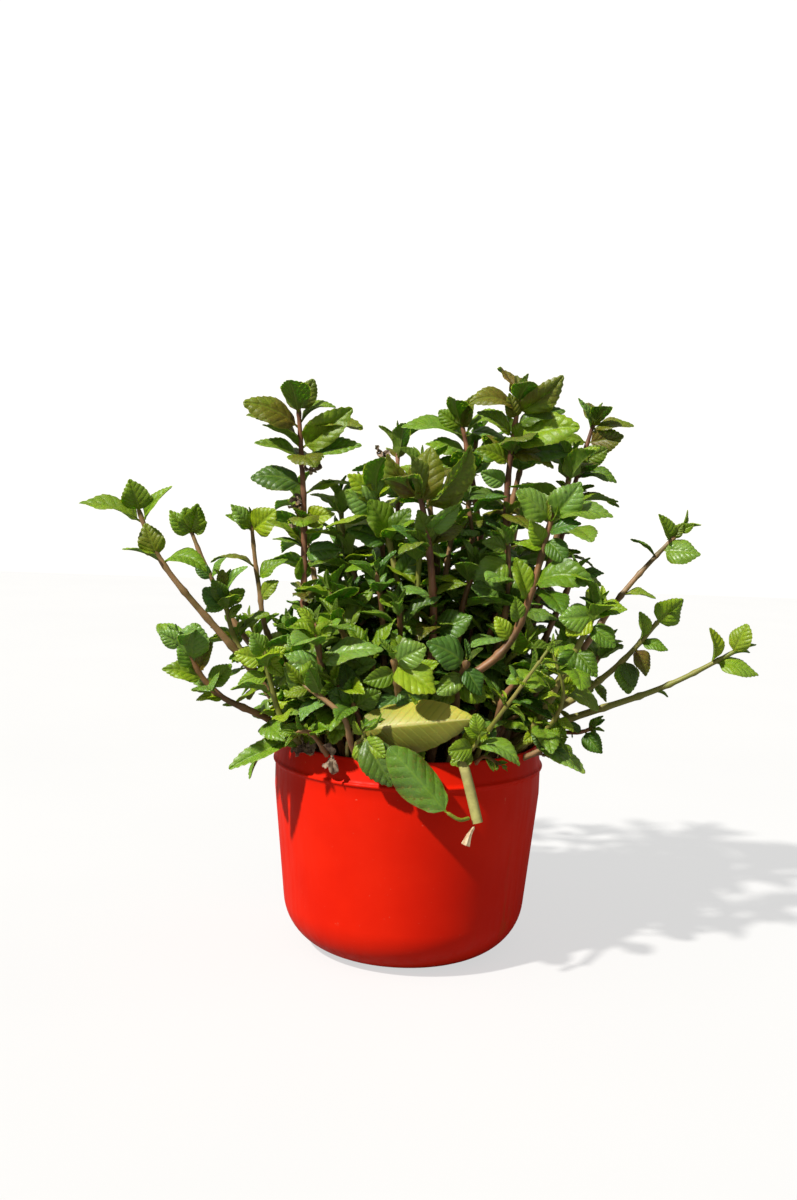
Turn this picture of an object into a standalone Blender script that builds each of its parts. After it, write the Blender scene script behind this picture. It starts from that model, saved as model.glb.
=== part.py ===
"""Potted mint plant: a plastic pot of soil with leafy square-stemmed mint shoots.

Metres, +Z up. The origin is on the pot's axis at the face it stands on.
Every stem stands on the soil and carries a crown: the growing tip with its top pairs of leaves.
"""

import math

import bmesh
import bpy
from mathutils import Matrix, Vector

CM = 0.01
GAP = 0.0003                    # left between two pieces that touch
WELD = 0.00001                  # points this close are made one

# Pot: a tapered bucket with a ridge round it and a collar above the ridge.
POT_RADIUS = 0.080              # over the ridge
POT_HEIGHT = 0.125
POT_WALL = 0.002
RIDGE_Z = 0.111                 # middle of the ridge
RIDGE_HALF_HEIGHT = 0.001
WALL_TOP_RADIUS = 0.0787        # just under the ridge
TAPER_TOP_Z = 0.095             # the wall is upright above this and tapers below it
BASE_RADIUS = 0.069             # where the tapered wall would meet the floor
BOTTOM_ROUNDING = 0.031
COLLAR_FOOT_RADIUS = 0.0785
COLLAR_TOP_RADIUS = 0.0770
POT_SIDES = 48
ROUNDING_STEPS = 6

# Soil: fills the pot to below the collar's lip and is slightly heaped in the middle.
SOIL_TOP = 0.1135
SOIL_DROP = 0.003               # from the middle to the edge
SOIL_RINGS = 3

# Stems and crowns.
STEM_FOOT_RADIUS = 0.0026       # corner radius of the square stem at the soil
STEM_TIP_RADIUS = 0.0015
STEM_STEP = 0.016               # between two points of a stem
FOOT_HEIGHT = 0.004             # a stem is upright up to here above the soil
CROWN_LENGTH = 0.036            # from the cut through the stem to the tip
CROWN_GAP = 0.0004
PAIR_BELOW_TIP = (0.029, 0.014, 0.002)      # leaf pairs of a crown, from the lowest up
PAIR_SIZE = (1.0, 0.82, 0.5)                # as shares of the shoot's leaf length
PAIR_RISE = (12.0, 28.0, 58.0)              # degrees above square to the stem
PAIR_TURN = 90.0                            # each pair stands crosswise to the one below

# Leaves.
LEAF_THICKNESS = 0.001
LEAF_ROWS = 3
LEAF_WIDTH = 0.52               # full width as a share of the length
LEAF_BASE_WIDTH = 0.09          # the same, where the blade meets its stalk
LEAF_END = 0.97                 # the outline stops short of its point, so that the tip has a width
LEAF_BELLY = 0.85               # under 1 sets the widest place nearer the base
LEAF_FULLNESS = 0.8             # under 1 rounds the outline out
LEAF_FOLD = 0.25                # how far the edges rise above the midrib, as a share of half width
LEAF_CURL = 0.12                # how far the tip bends down, as a share of the length

# Each shoot: its place, its foot on the soil (x, y), the points its stem passes through up to
# the tip (x, y, z), all in cm, the turn of its lowest pair in degrees, its leaf length in mm.
SHOOTS = (
    ("left_tall", (-4.4, 0.6), ((-6.2, -0.3, 18.0), (-6.6, -0.5, 26.3), (-7.1, -1.0, 32.8)), 8, 33),
    ("left_far", (-5.6, -2.0), ((-9.4, -2.4, 16.7), (-14.2, -2.9, 22.3), (-16.1, -3.0, 26.4)), 8, 36),
    ("left_second", (-4.6, 3.2), ((-10.2, 2.6, 17.6), (-12.8, 3.2, 21.8), (-14.6, 4.0, 25.6)), 40, 26),
    ("left_third", (-3.2, 2.2), ((-8.2, 1.2, 17.2), (-9.4, 1.5, 21.2), (-10.1, 1.6, 26.4)), 10, 27),
    ("left_low", (-4.9, -3.4), ((-7.8, -4.8, 14.0), (-10.8, -6.0, 15.8), (-13.0, -6.8, 19.4)), 40, 29),
    ("left_cluster", (-5.8, -0.4), ((-8.7, -0.9, 15.6), (-10.6, -1.0, 18.6), (-11.2, -1.0, 22.6)), 95, 25),
    ("left_front", (-3.4, -4.6), ((-4.2, -5.8, 14.5), (-4.9, -6.8, 17.8), (-5.4, -7.4, 21.4)), 70, 30),
    ("centre_pale", (-1.2, -1.8), ((-0.5, -1.8, 18.0), (-1.1, -1.2, 22.4), (-2.8, -1.0, 28.2)), 25, 32),
    ("centre_purple", (0.6, -3.0), ((1.2, -3.1, 18.6), (0.7, -3.8, 24.4), (-0.6, -4.2, 29.6)), 60, 33),
    ("top_left", (2.6, 2.8), ((4.2, 4.0, 20.4), (3.8, 4.8, 26.0), (2.4, 5.2, 32.6)), 5, 33),
    ("top_middle", (3.0, 0.6), ((5.2, 0.9, 21.0), (5.4, 1.0, 28.0), (6.0, 1.0, 34.0)), 20, 33),
    ("top_right", (4.6, 2.6), ((8.2, 4.0, 21.0), (9.9, 4.8, 28.0), (11.3, 5.2, 33.0)), 0, 31),
    ("right_pale", (1.2, -4.8), ((2.2, -5.0, 15.8), (5.7, -5.0, 19.4), (7.9, -5.2, 28.0)), 35, 36),
    ("right_high", (5.8, 1.6), ((9.7, 2.2, 16.6), (13.0, 2.9, 21.4), (16.8, 3.2, 25.8)), 65, 29),
    ("right_round", (5.6, -0.4), ((7.6, -0.7, 13.6), (11.8, -1.8, 17.2), (15.0, -2.2, 21.2)), 50, 27),
    ("right_far", (5.4, -2.0), ((7.2, -2.4, 13.4), (14.0, -3.9, 16.4), (18.4, -4.2, 18.9)), 20, 27),
    ("right_group", (5.0, -3.4), ((6.7, -3.6, 13.2), (8.4, -5.2, 17.2), (10.3, -6.0, 21.6)), 0, 31),
    ("right_dark", (4.4, 0.6), ((7.2, 0.9, 16.6), (8.6, 1.0, 20.0), (10.3, 1.0, 24.0)), 45, 32),
    ("front_middle", (-0.8, -5.4), ((-0.6, -6.0, 14.6), (-0.8, -8.2, 17.6), (-1.6, -10.0, 20.4)), 35, 31),
    ("front_right", (2.6, -3.2), ((2.6, -5.4, 16.0), (3.2, -7.0, 18.6), (4.0, -8.2, 21.8)), 50, 32),
    ("centre_right", (2.8, -1.4), ((4.6, -1.6, 17.0), (5.4, -2.0, 20.6), (5.3, -2.2, 24.8)), 60, 30),
    ("back_left", (-2.8, 4.2), ((-5.6, 7.6, 18.0), (-7.0, 9.6, 22.4), (-8.4, 11.4, 27.2)), 30, 32),
    ("back_middle", (-0.8, 2.4), ((-1.0, 5.8, 20.0), (-1.2, 8.0, 25.6), (-1.4, 9.6, 30.6)), 0, 33),
    ("back_right", (4.6, 4.2), ((5.6, 8.2, 17.6), (6.4, 11.0, 21.8), (7.2, 13.0, 26.2)), 45, 32),
    ("back_low", (1.6, 4.0), ((1.0, 8.2, 15.8), (0.8, 11.4, 18.0), (0.6, 14.2, 21.4)), 20, 31),
)

# Lone leaves on stalks of their own: name, foot on the soil (x, y), stalk points up to the base
# of the blade, tip of the blade, all in cm, and the way the upper face looks.
STALKED_LEAVES = (
    ("yellow_leaf", (-3.2, -6.0), ((-3.3, -7.0, 13.2), (-2.9, -7.9, 14.2)), (3.3, -8.4, 14.7), (0, -0.6, 0.8)),
    ("left_rim_leaf", (-5.2, -4.4), ((-5.7, -5.2, 12.9), (-6.2, -5.8, 13.2)), (-9.7, -6.8, 11.6), (0.2, -0.5, 0.8)),
    ("left_low_leaf", (-6.3, -2.2), ((-6.9, -3.0, 12.9), (-7.3, -3.5, 12.8)), (-8.7, -5.6, 10.8), (-0.5, 0.3, 0.8)),
    ("right_rim_leaf", (5.4, -3.6), ((6.3, -4.1, 12.9), (7.0, -4.5, 13.2)), (9.8, -5.6, 11.8), (0.3, -0.3, 0.9)),
)
STALK_RADIUS = 0.0013

# A cut, hollow stem hangs over the rim and carries a big leaf and a dried husk.
CUT_STEM_FOOT = (2.3, -5.8)
CUT_STEM_POINTS = ((2.4, -6.7, 12.6), (2.7, -7.6, 13.1), (3.1, -8.5, 12.2), (3.8, -9.0, 9.7))
CUT_STEM_RADIUS = 0.0030
CUT_STEM_BORE_RADIUS = 0.0018
CUT_STEM_BORE_DEPTH = 0.008
HANGING_STALK_POINTS = ((3.38, -9.12, 10.0), (2.8, -9.6, 10.0), (2.1, -9.7, 10.4))
HANGING_LEAF_TIP = (-1.0, -9.1, 13.6)
HANGING_LEAF_FACE = (0.2, -0.95, 0.2)
HUSK_POINTS = ((3.62, -9.12, 9.55), (3.4, -9.3, 9.2), (3.2, -9.4, 8.6))
HUSK_NECK_RADIUS = 0.0009
HUSK_MOUTH_RADIUS = 0.0024


# ---------------------------------------------------------------- scene and materials


def clear_scene():
    for item in list(bpy.data.objects):
        bpy.data.objects.remove(item, do_unlink=True)


def new_collection(name):
    collection = bpy.data.collections.new(name)
    bpy.context.scene.collection.children.link(collection)
    return collection


def plain_material(name, colour, roughness):
    material = bpy.data.materials.new(name)
    material.use_nodes = True
    shader = material.node_tree.nodes["Principled BSDF"]
    shader.inputs["Base Color"].default_value = (*colour, 1.0)
    shader.inputs["Roughness"].default_value = roughness
    shader.inputs["Metallic"].default_value = 0.0
    return material


def add_object(name, data, collection, material=None):
    item = bpy.data.objects.new(name, data)
    collection.objects.link(item)
    if material:
        data.materials.append(material)
    return item


def make_cutter(item):
    item.hide_render = True
    item.display_type = "WIRE"


# ---------------------------------------------------------------- routes


def soil_height(x, y):
    return SOIL_TOP - SOIL_DROP * (x * x + y * y) / POT_RADIUS ** 2


def metres(point):
    return Vector(point) * CM


def foot_point(foot):
    """Where a stem's foot stands on the soil, one gap above it."""
    x, y = foot[0] * CM, foot[1] * CM
    return Vector((x, y, soil_height(x, y) + GAP))


def route_from(foot, points):
    """The route of a stem above its foot, which is an upright stretch that stands on the soil."""
    return Route([foot_point(foot) + Vector((0, 0, FOOT_HEIGHT))] + [metres(point) for point in points])


class Route:
    """A smooth curve through a few points, read by the distance along it."""

    SAMPLES = 24

    def __init__(self, knots):
        ends = [2 * knots[0] - knots[1]] + list(knots) + [2 * knots[-1] - knots[-2]]
        self.points = [knots[0]]
        for before, start, end, after in zip(ends, ends[1:], ends[2:], ends[3:]):
            for step in range(1, self.SAMPLES + 1):
                self.points.append(self.blend(before, start, end, after, step / self.SAMPLES))
        self.distances = [0.0]
        for start, end in zip(self.points, self.points[1:]):
            self.distances.append(self.distances[-1] + (end - start).length)
        self.length = self.distances[-1]

    @staticmethod
    def blend(before, start, end, after, t):
        """Catmull-Rom point between start and end."""
        leaving = (end - before) / 2
        arriving = (after - start) / 2
        return (start * (2 * t ** 3 - 3 * t ** 2 + 1) + leaving * (t ** 3 - 2 * t ** 2 + t)
                + end * (3 * t ** 2 - 2 * t ** 3) + arriving * (t ** 3 - t ** 2))

    def at(self, distance):
        distance = min(max(distance, 0.0), self.length)
        for index in range(1, len(self.points)):
            if self.distances[index] >= distance:
                break
        start, end = self.points[index - 1], self.points[index]
        span = self.distances[index] - self.distances[index - 1]
        return start.lerp(end, (distance - self.distances[index - 1]) / span)

    def direction(self, distance):
        reach = 0.001
        return (self.at(distance + reach) - self.at(distance - reach)).normalized()

    def between(self, start, end, step):
        """Points from start to end, about one step apart."""
        count = max(2, round((end - start) / step))
        return [self.at(start + (end - start) * index / count) for index in range(count + 1)]


# ---------------------------------------------------------------- rods and blades


def rod_mesh(points, radii, corners):
    """Closed mesh of a rod along the points; corners is 4 for a square one or 8 for a round one."""
    curve = bpy.data.curves.new("rod", "CURVE")
    curve.dimensions = "3D"
    curve.bevel_depth = 1.0
    curve.bevel_resolution = (corners - 4) // 2
    curve.use_fill_caps = True
    spline = curve.splines.new("POLY")
    spline.points.add(len(points) - 1)
    for knot, point, radius in zip(spline.points, points, radii):
        knot.co = (*point, 1.0)
        knot.radius = radius
    guide = bpy.data.objects.new("rod", curve)
    bpy.context.scene.collection.objects.link(guide)
    evaluated = guide.evaluated_get(bpy.context.evaluated_depsgraph_get())
    mesh = bpy.data.meshes.new_from_object(evaluated)
    bpy.data.objects.remove(guide, do_unlink=True)
    shell = bmesh.new()
    shell.from_mesh(mesh)
    bmesh.ops.remove_doubles(shell, verts=shell.verts, dist=WELD)
    bmesh.ops.recalc_face_normals(shell, faces=shell.faces)
    shell.to_mesh(mesh)
    shell.free()
    return mesh


def even_radii(start, end, count):
    return [start + (end - start) * index / (count - 1) for index in range(count)]


def half_width(share):
    """Half the width of a blade of length 1 at a share of the way to its tip."""
    belly = math.sin(math.pi * min(share, LEAF_END) ** LEAF_BELLY) ** LEAF_FULLNESS
    return (LEAF_BASE_WIDTH + (LEAF_WIDTH - LEAF_BASE_WIDTH) * belly) / 2


def add_blade(shell, base, along, face, length):
    """Add one leaf blade to a bmesh: an open sheet folded along its midrib, tip bent down."""
    along = along.normalized()
    face = (face - face.dot(along) * along).normalized()
    across = face.cross(along)
    place = Matrix((along, across, face)).transposed().to_4x4()
    place.translation = base
    grid = bmesh.ops.create_grid(shell, x_segments=LEAF_ROWS, y_segments=2, size=0.5)
    for vertex in grid["verts"]:
        share = vertex.co.x + 0.5
        side = vertex.co.y * 2
        half = half_width(share)
        vertex.co.x = share * length
        vertex.co.y = side * half * length
        vertex.co.z = (abs(side) * half * LEAF_FOLD - LEAF_CURL * share ** 2) * length
    bmesh.ops.transform(shell, matrix=place, verts=grid["verts"])


def thicken(item):
    sheet = item.modifiers.new("Leaf thickness", "SOLIDIFY")
    sheet.thickness = LEAF_THICKNESS
    sheet.offset = 0.0


def join_blades(stalk, blades_shell, cutters):
    """Union a bmesh of blades with the stalk that carries them, into one grown piece."""
    mesh = bpy.data.meshes.new(stalk.name + "_blades")
    blades_shell.to_mesh(mesh)
    blades_shell.free()
    blades = add_object(stalk.name + "_blades", mesh, cutters)
    thicken(blades)
    make_cutter(blades)
    union = stalk.modifiers.new("Grow together", "BOOLEAN")
    union.operation = "UNION"
    union.solver = "EXACT"
    union.use_self = True
    union.object = blades


# ---------------------------------------------------------------- pot and soil


def bottom_arc(inset):
    """Outline (radius, z) of the rounded bottom, from the wall down to the flat base."""
    slope = (WALL_TOP_RADIUS - BASE_RADIUS) / TAPER_TOP_Z
    centre_z = BOTTOM_ROUNDING
    centre_radius = BASE_RADIUS + slope * centre_z - BOTTOM_ROUNDING * math.hypot(1, slope)
    rounding = BOTTOM_ROUNDING - inset
    start = -math.atan(slope)
    points = []
    for step in range(ROUNDING_STEPS + 1):
        angle = start + (-math.pi / 2 - start) * step / ROUNDING_STEPS
        radius = centre_radius + rounding * math.cos(angle)
        points.append((radius, centre_z + rounding * math.sin(angle)))
    return points


def pot_outline():
    """Outline of the pot's wall, down its outside and back up its inside."""
    lip = POT_WALL / 2
    top_z = POT_HEIGHT - lip
    outside = [
        (COLLAR_TOP_RADIUS - lip, POT_HEIGHT),
        (COLLAR_TOP_RADIUS, top_z),
        (COLLAR_FOOT_RADIUS, RIDGE_Z + RIDGE_HALF_HEIGHT),
        (POT_RADIUS, RIDGE_Z + RIDGE_HALF_HEIGHT / 2),
        (POT_RADIUS, RIDGE_Z - RIDGE_HALF_HEIGHT / 2),
        (WALL_TOP_RADIUS, RIDGE_Z - RIDGE_HALF_HEIGHT),
        (WALL_TOP_RADIUS, TAPER_TOP_Z),
    ]
    inside = [
        (WALL_TOP_RADIUS - POT_WALL, TAPER_TOP_Z),
        (COLLAR_FOOT_RADIUS - POT_WALL, RIDGE_Z),
        (COLLAR_TOP_RADIUS - POT_WALL, top_z),
    ]
    base = [(0.0, 0.0), (0.0, POT_WALL)]
    return outside + bottom_arc(0.0) + base + bottom_arc(POT_WALL)[::-1] + inside


def turned_object(name, outline, closed, collection, material):
    """Turn an outline of (radius, z) points round the Z axis."""
    mesh = bpy.data.meshes.new(name)
    edges = [(index, index + 1) for index in range(len(outline) - 1)]
    if closed:
        edges.append((len(outline) - 1, 0))
    mesh.from_pydata([(radius, 0.0, z) for radius, z in outline], edges, [])
    item = add_object(name, mesh, collection, material)
    screw = item.modifiers.new("Turn", "SCREW")
    screw.steps = POT_SIDES
    screw.render_steps = POT_SIDES
    screw.use_merge_vertices = True
    screw.merge_threshold = WELD
    screw.use_smooth_shade = True
    return item


def build_pot(parts):
    plastic = plain_material("red plastic", (0.85, 0.035, 0.012), 0.4)
    turned_object("pot", pot_outline(), True, parts, plastic)


def build_soil(parts):
    """The soil, one gap inside the pot's wall."""
    inset = POT_WALL + GAP
    edge_radius = WALL_TOP_RADIUS - inset
    outline = []
    for ring in range(SOIL_RINGS + 1):
        radius = edge_radius * ring / SOIL_RINGS
        outline.append((radius, soil_height(radius, 0.0)))
    outline.append((edge_radius, TAPER_TOP_Z))
    outline += bottom_arc(inset)
    outline.append((0.0, inset))
    turned_object("soil", outline, False, parts, plain_material("soil", (0.06, 0.035, 0.02), 0.95))


# ---------------------------------------------------------------- shoots


def stem_radius(route, distance):
    return STEM_FOOT_RADIUS + (STEM_TIP_RADIUS - STEM_FOOT_RADIUS) * distance / route.length


def build_stem(place, foot, route, parts, material):
    """The square stem, from the soil to the crown."""
    end = route.length - CROWN_LENGTH - CROWN_GAP
    points = [foot_point(foot)] + route.between(0.0, end, STEM_STEP)
    radii = even_radii(STEM_FOOT_RADIUS, stem_radius(route, end), len(points))
    add_object("stem_" + place, rod_mesh(points, radii, 4), parts, material)


def build_crown(place, route, turn, leaf_length, parts, cutters, material):
    """The growing tip of a shoot with its top pairs of leaves, each pair crosswise to the last."""
    start = route.length - CROWN_LENGTH
    points = route.between(start, route.length, CROWN_LENGTH / 3)
    radii = even_radii(stem_radius(route, start), STEM_TIP_RADIUS, len(points))
    crown = add_object("crown_" + place, rod_mesh(points, radii, 4), parts, material)
    blades = bmesh.new()
    for level, below in enumerate(PAIR_BELOW_TIP):
        distance = route.length - below
        upward = route.direction(distance)
        level_side = Vector((1, 0, 0)) - upward.x * upward
        rise = math.radians(PAIR_RISE[level])
        for facing in (0.0, 180.0):
            angle = math.radians(turn + PAIR_TURN * level + facing)
            side = Matrix.Rotation(angle, 3, upward) @ level_side.normalized()
            along = side * math.cos(rise) + upward * math.sin(rise)
            add_blade(blades, route.at(distance), along, upward, leaf_length * PAIR_SIZE[level])
    join_blades(crown, blades, cutters)


def build_shoots(parts, cutters):
    stem_skin = plain_material("stem", (0.16, 0.05, 0.035), 0.55)
    leaf_skin = plain_material("leaf", (0.10, 0.26, 0.03), 0.5)
    for place, foot, points, turn, leaf_length in SHOOTS:
        route = route_from(foot, points)
        build_stem(place, foot, route, parts, stem_skin)
        build_crown(place, route, turn, leaf_length / 1000, parts, cutters, leaf_skin)


# ---------------------------------------------------------------- lone leaves and cut stem


def build_leaf_on_stalk(name, points, tip, face, parts, cutters, material):
    stalk = add_object(name, rod_mesh(points, [STALK_RADIUS] * len(points), 4), parts, material)
    blades = bmesh.new()
    span = metres(tip) - points[-1]
    add_blade(blades, points[-1] - span.normalized() * STALK_RADIUS, span, Vector(face), span.length)
    join_blades(stalk, blades, cutters)


def build_stalked_leaves(parts, cutters):
    yellow = plain_material("yellowing leaf", (0.50, 0.45, 0.08), 0.5)
    green = plain_material("rim leaf", (0.16, 0.34, 0.05), 0.5)
    for name, foot, knots, tip, face in STALKED_LEAVES:
        route = route_from(foot, knots)
        points = [foot_point(foot)] + route.between(0.0, route.length, STEM_STEP / 2)
        skin = yellow if name == "yellow_leaf" else green
        build_leaf_on_stalk(name, points, tip, face, parts, cutters, skin)


def build_cut_stem(parts, cutters):
    """The hollow cut stem over the rim, with the leaf and the husk that hang at its end."""
    straw = plain_material("old stem", (0.48, 0.42, 0.14), 0.6)
    route = route_from(CUT_STEM_FOOT, CUT_STEM_POINTS)
    points = [foot_point(CUT_STEM_FOOT)] + route.between(0.0, route.length, STEM_STEP / 2)
    stem = add_object("cut_stem", rod_mesh(points, [CUT_STEM_RADIUS] * len(points), 8), parts, straw)
    end = route.at(route.length)
    outward = route.direction(route.length)
    bore_points = [end - outward * CUT_STEM_BORE_DEPTH, end + outward * CUT_STEM_BORE_DEPTH / 4]
    bore = add_object("cut_stem_bore", rod_mesh(bore_points, [CUT_STEM_BORE_RADIUS] * 2, 8), cutters)
    make_cutter(bore)
    hollow = stem.modifiers.new("Hollow end", "BOOLEAN")
    hollow.operation = "DIFFERENCE"
    hollow.solver = "EXACT"
    hollow.object = bore

    green = plain_material("hanging leaf", (0.08, 0.22, 0.03), 0.4)
    stalk = [metres(point) for point in HANGING_STALK_POINTS]
    build_leaf_on_stalk("hanging_leaf", stalk, HANGING_LEAF_TIP, HANGING_LEAF_FACE, parts, cutters, green)

    husk_points = [metres(point) for point in HUSK_POINTS]
    husk_radii = even_radii(HUSK_NECK_RADIUS, HUSK_MOUTH_RADIUS, len(husk_points))
    dry = plain_material("dried husk", (0.45, 0.33, 0.18), 0.8)
    add_object("dried_husk", rod_mesh(husk_points, husk_radii, 8), parts, dry)


def build_plant():
    clear_scene()
    parts = new_collection("potted_mint")
    cutters = new_collection("cutters")
    build_pot(parts)
    build_soil(parts)
    build_shoots(parts, cutters)
    build_stalked_leaves(parts, cutters)
    build_cut_stem(parts, cutters)


build_plant()
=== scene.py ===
"""Looks of the potted mint plant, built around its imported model.

Metres, +Z up, the pot's axis at the origin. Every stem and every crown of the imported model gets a
fine mesh in its place: square stems, toothed and quilted leaves, a turned pot and crumbly soil.
"""

import math
from dataclasses import dataclass, replace

import bpy
import numpy as np
from mathutils import Matrix, Vector, noise


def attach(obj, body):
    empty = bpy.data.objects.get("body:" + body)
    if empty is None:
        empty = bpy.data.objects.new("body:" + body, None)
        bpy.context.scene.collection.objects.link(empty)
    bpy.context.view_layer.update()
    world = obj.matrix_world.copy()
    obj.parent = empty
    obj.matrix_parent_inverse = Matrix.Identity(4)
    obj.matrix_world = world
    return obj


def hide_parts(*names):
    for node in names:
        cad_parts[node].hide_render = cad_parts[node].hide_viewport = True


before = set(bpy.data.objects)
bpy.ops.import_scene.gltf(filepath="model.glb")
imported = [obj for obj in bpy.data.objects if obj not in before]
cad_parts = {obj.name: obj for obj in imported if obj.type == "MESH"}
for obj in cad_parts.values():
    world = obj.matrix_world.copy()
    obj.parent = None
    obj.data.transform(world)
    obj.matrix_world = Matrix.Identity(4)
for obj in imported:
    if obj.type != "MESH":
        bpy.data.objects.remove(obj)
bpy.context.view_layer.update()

CM = 0.01
MM = 0.001
SEED = 20

# ---------------------------------------------------------------- the plant's plan

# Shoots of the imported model: place, foot on the soil (x, y), the points the stem passes through
# up to the tip (x, y, z), all in cm, the turn of the crown's lowest pair in degrees, the leaf
# length in mm, and the tone of the leaves.
SHOOTS = (
    ("left_tall", (-4.4, 0.6), ((-6.2, -0.3, 18.0), (-6.6, -0.5, 26.3), (-7.1, -1.0, 32.8)),
     8, 36, "bronzed"),
    ("left_far", (-5.6, -2.0), ((-9.4, -2.4, 16.7), (-14.2, -2.9, 22.3), (-16.1, -3.0, 26.4)),
     8, 36, "mid"),
    ("left_second", (-4.6, 3.2), ((-10.2, 2.6, 17.6), (-12.8, 3.2, 21.8), (-14.6, 4.0, 25.6)),
     40, 26, "mid"),
    ("left_third", (-3.2, 2.2), ((-8.2, 1.2, 17.2), (-9.4, 1.5, 21.2), (-10.1, 1.6, 26.4)),
     10, 27, "mid"),
    ("left_low", (-4.9, -3.4), ((-7.8, -4.8, 14.0), (-10.8, -6.0, 15.8), (-13.0, -6.8, 19.4)),
     40, 29, "glossy"),
    ("left_cluster", (-5.8, -0.4), ((-8.7, -0.9, 15.6), (-10.6, -1.0, 18.6), (-11.2, -1.0, 22.6)),
     95, 25, "fresh"),
    ("left_front", (-3.4, -4.6), ((-4.2, -5.8, 14.5), (-4.9, -6.8, 17.8), (-5.4, -7.4, 21.4)),
     70, 30, "glossy"),
    ("centre_pale", (-1.2, -1.8), ((-0.5, -1.8, 18.0), (-1.1, -1.2, 22.4), (-2.8, -1.0, 28.2)),
     25, 32, "fresh"),
    ("centre_purple", (0.6, -3.0), ((1.2, -3.1, 18.6), (0.7, -3.8, 24.4), (-0.6, -4.2, 29.6)),
     60, 33, "bronzed"),
    ("top_left", (2.6, 2.8), ((4.2, 4.0, 20.4), (3.8, 4.8, 26.0), (2.4, 5.2, 32.6)),
     5, 37, "bronzed"),
    ("top_middle", (3.0, 0.6), ((5.2, 0.9, 21.0), (5.4, 1.0, 28.0), (6.0, 1.0, 34.0)),
     20, 38, "bronzed"),
    ("top_right", (4.6, 2.6), ((8.2, 4.0, 21.0), (9.9, 4.8, 28.0), (11.3, 5.2, 33.0)),
     0, 31, "bronzed"),
    ("right_pale", (1.2, -4.8), ((2.2, -5.0, 15.8), (5.7, -5.0, 19.4), (7.9, -5.2, 28.0)),
     35, 36, "glossy"),
    ("right_high", (5.8, 1.6), ((9.7, 2.2, 16.6), (13.0, 2.9, 21.4), (16.8, 3.2, 25.8)),
     65, 29, "mid"),
    ("right_round", (5.6, -0.4), ((7.6, -0.7, 13.6), (11.8, -1.8, 17.2), (15.0, -2.2, 21.2)),
     50, 27, "fresh"),
    ("right_far", (5.4, -2.0), ((7.2, -2.4, 13.4), (14.0, -3.9, 16.4), (18.4, -4.2, 18.9)),
     20, 27, "fresh"),
    ("right_group", (5.0, -3.4), ((6.7, -3.6, 13.2), (8.4, -5.2, 17.2), (10.3, -6.0, 21.6)),
     0, 31, "fresh"),
    ("right_dark", (4.4, 0.6), ((7.2, 0.9, 16.6), (8.6, 1.0, 20.0), (10.3, 1.0, 24.0)),
     45, 32, "deep"),
    ("front_middle", (-0.8, -5.4), ((-0.6, -6.0, 14.6), (-0.8, -8.2, 17.6), (-1.6, -10.0, 20.4)),
     35, 31, "mid"),
    ("front_right", (2.6, -3.2), ((2.6, -5.4, 16.0), (3.2, -7.0, 18.6), (4.0, -8.2, 21.8)),
     50, 32, "deep"),
    ("centre_right", (2.8, -1.4), ((4.6, -1.6, 17.0), (5.4, -2.0, 20.6), (5.3, -2.2, 24.8)),
     60, 30, "glossy"),
    ("back_left", (-2.8, 4.2), ((-5.6, 7.6, 18.0), (-7.0, 9.6, 22.4), (-8.4, 11.4, 27.2)),
     30, 32, "mid"),
    ("back_middle", (-0.8, 2.4), ((-1.0, 5.8, 20.0), (-1.2, 8.0, 25.6), (-1.4, 9.6, 30.6)),
     0, 33, "bronzed"),
    ("back_right", (4.6, 4.2), ((5.6, 8.2, 17.6), (6.4, 11.0, 21.8), (7.2, 13.0, 26.2)),
     45, 32, "mid"),
    ("back_low", (1.6, 4.0), ((1.0, 8.2, 15.8), (0.8, 11.4, 18.0), (0.6, 14.2, 21.4)),
     20, 31, "fresh"),
)

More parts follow.
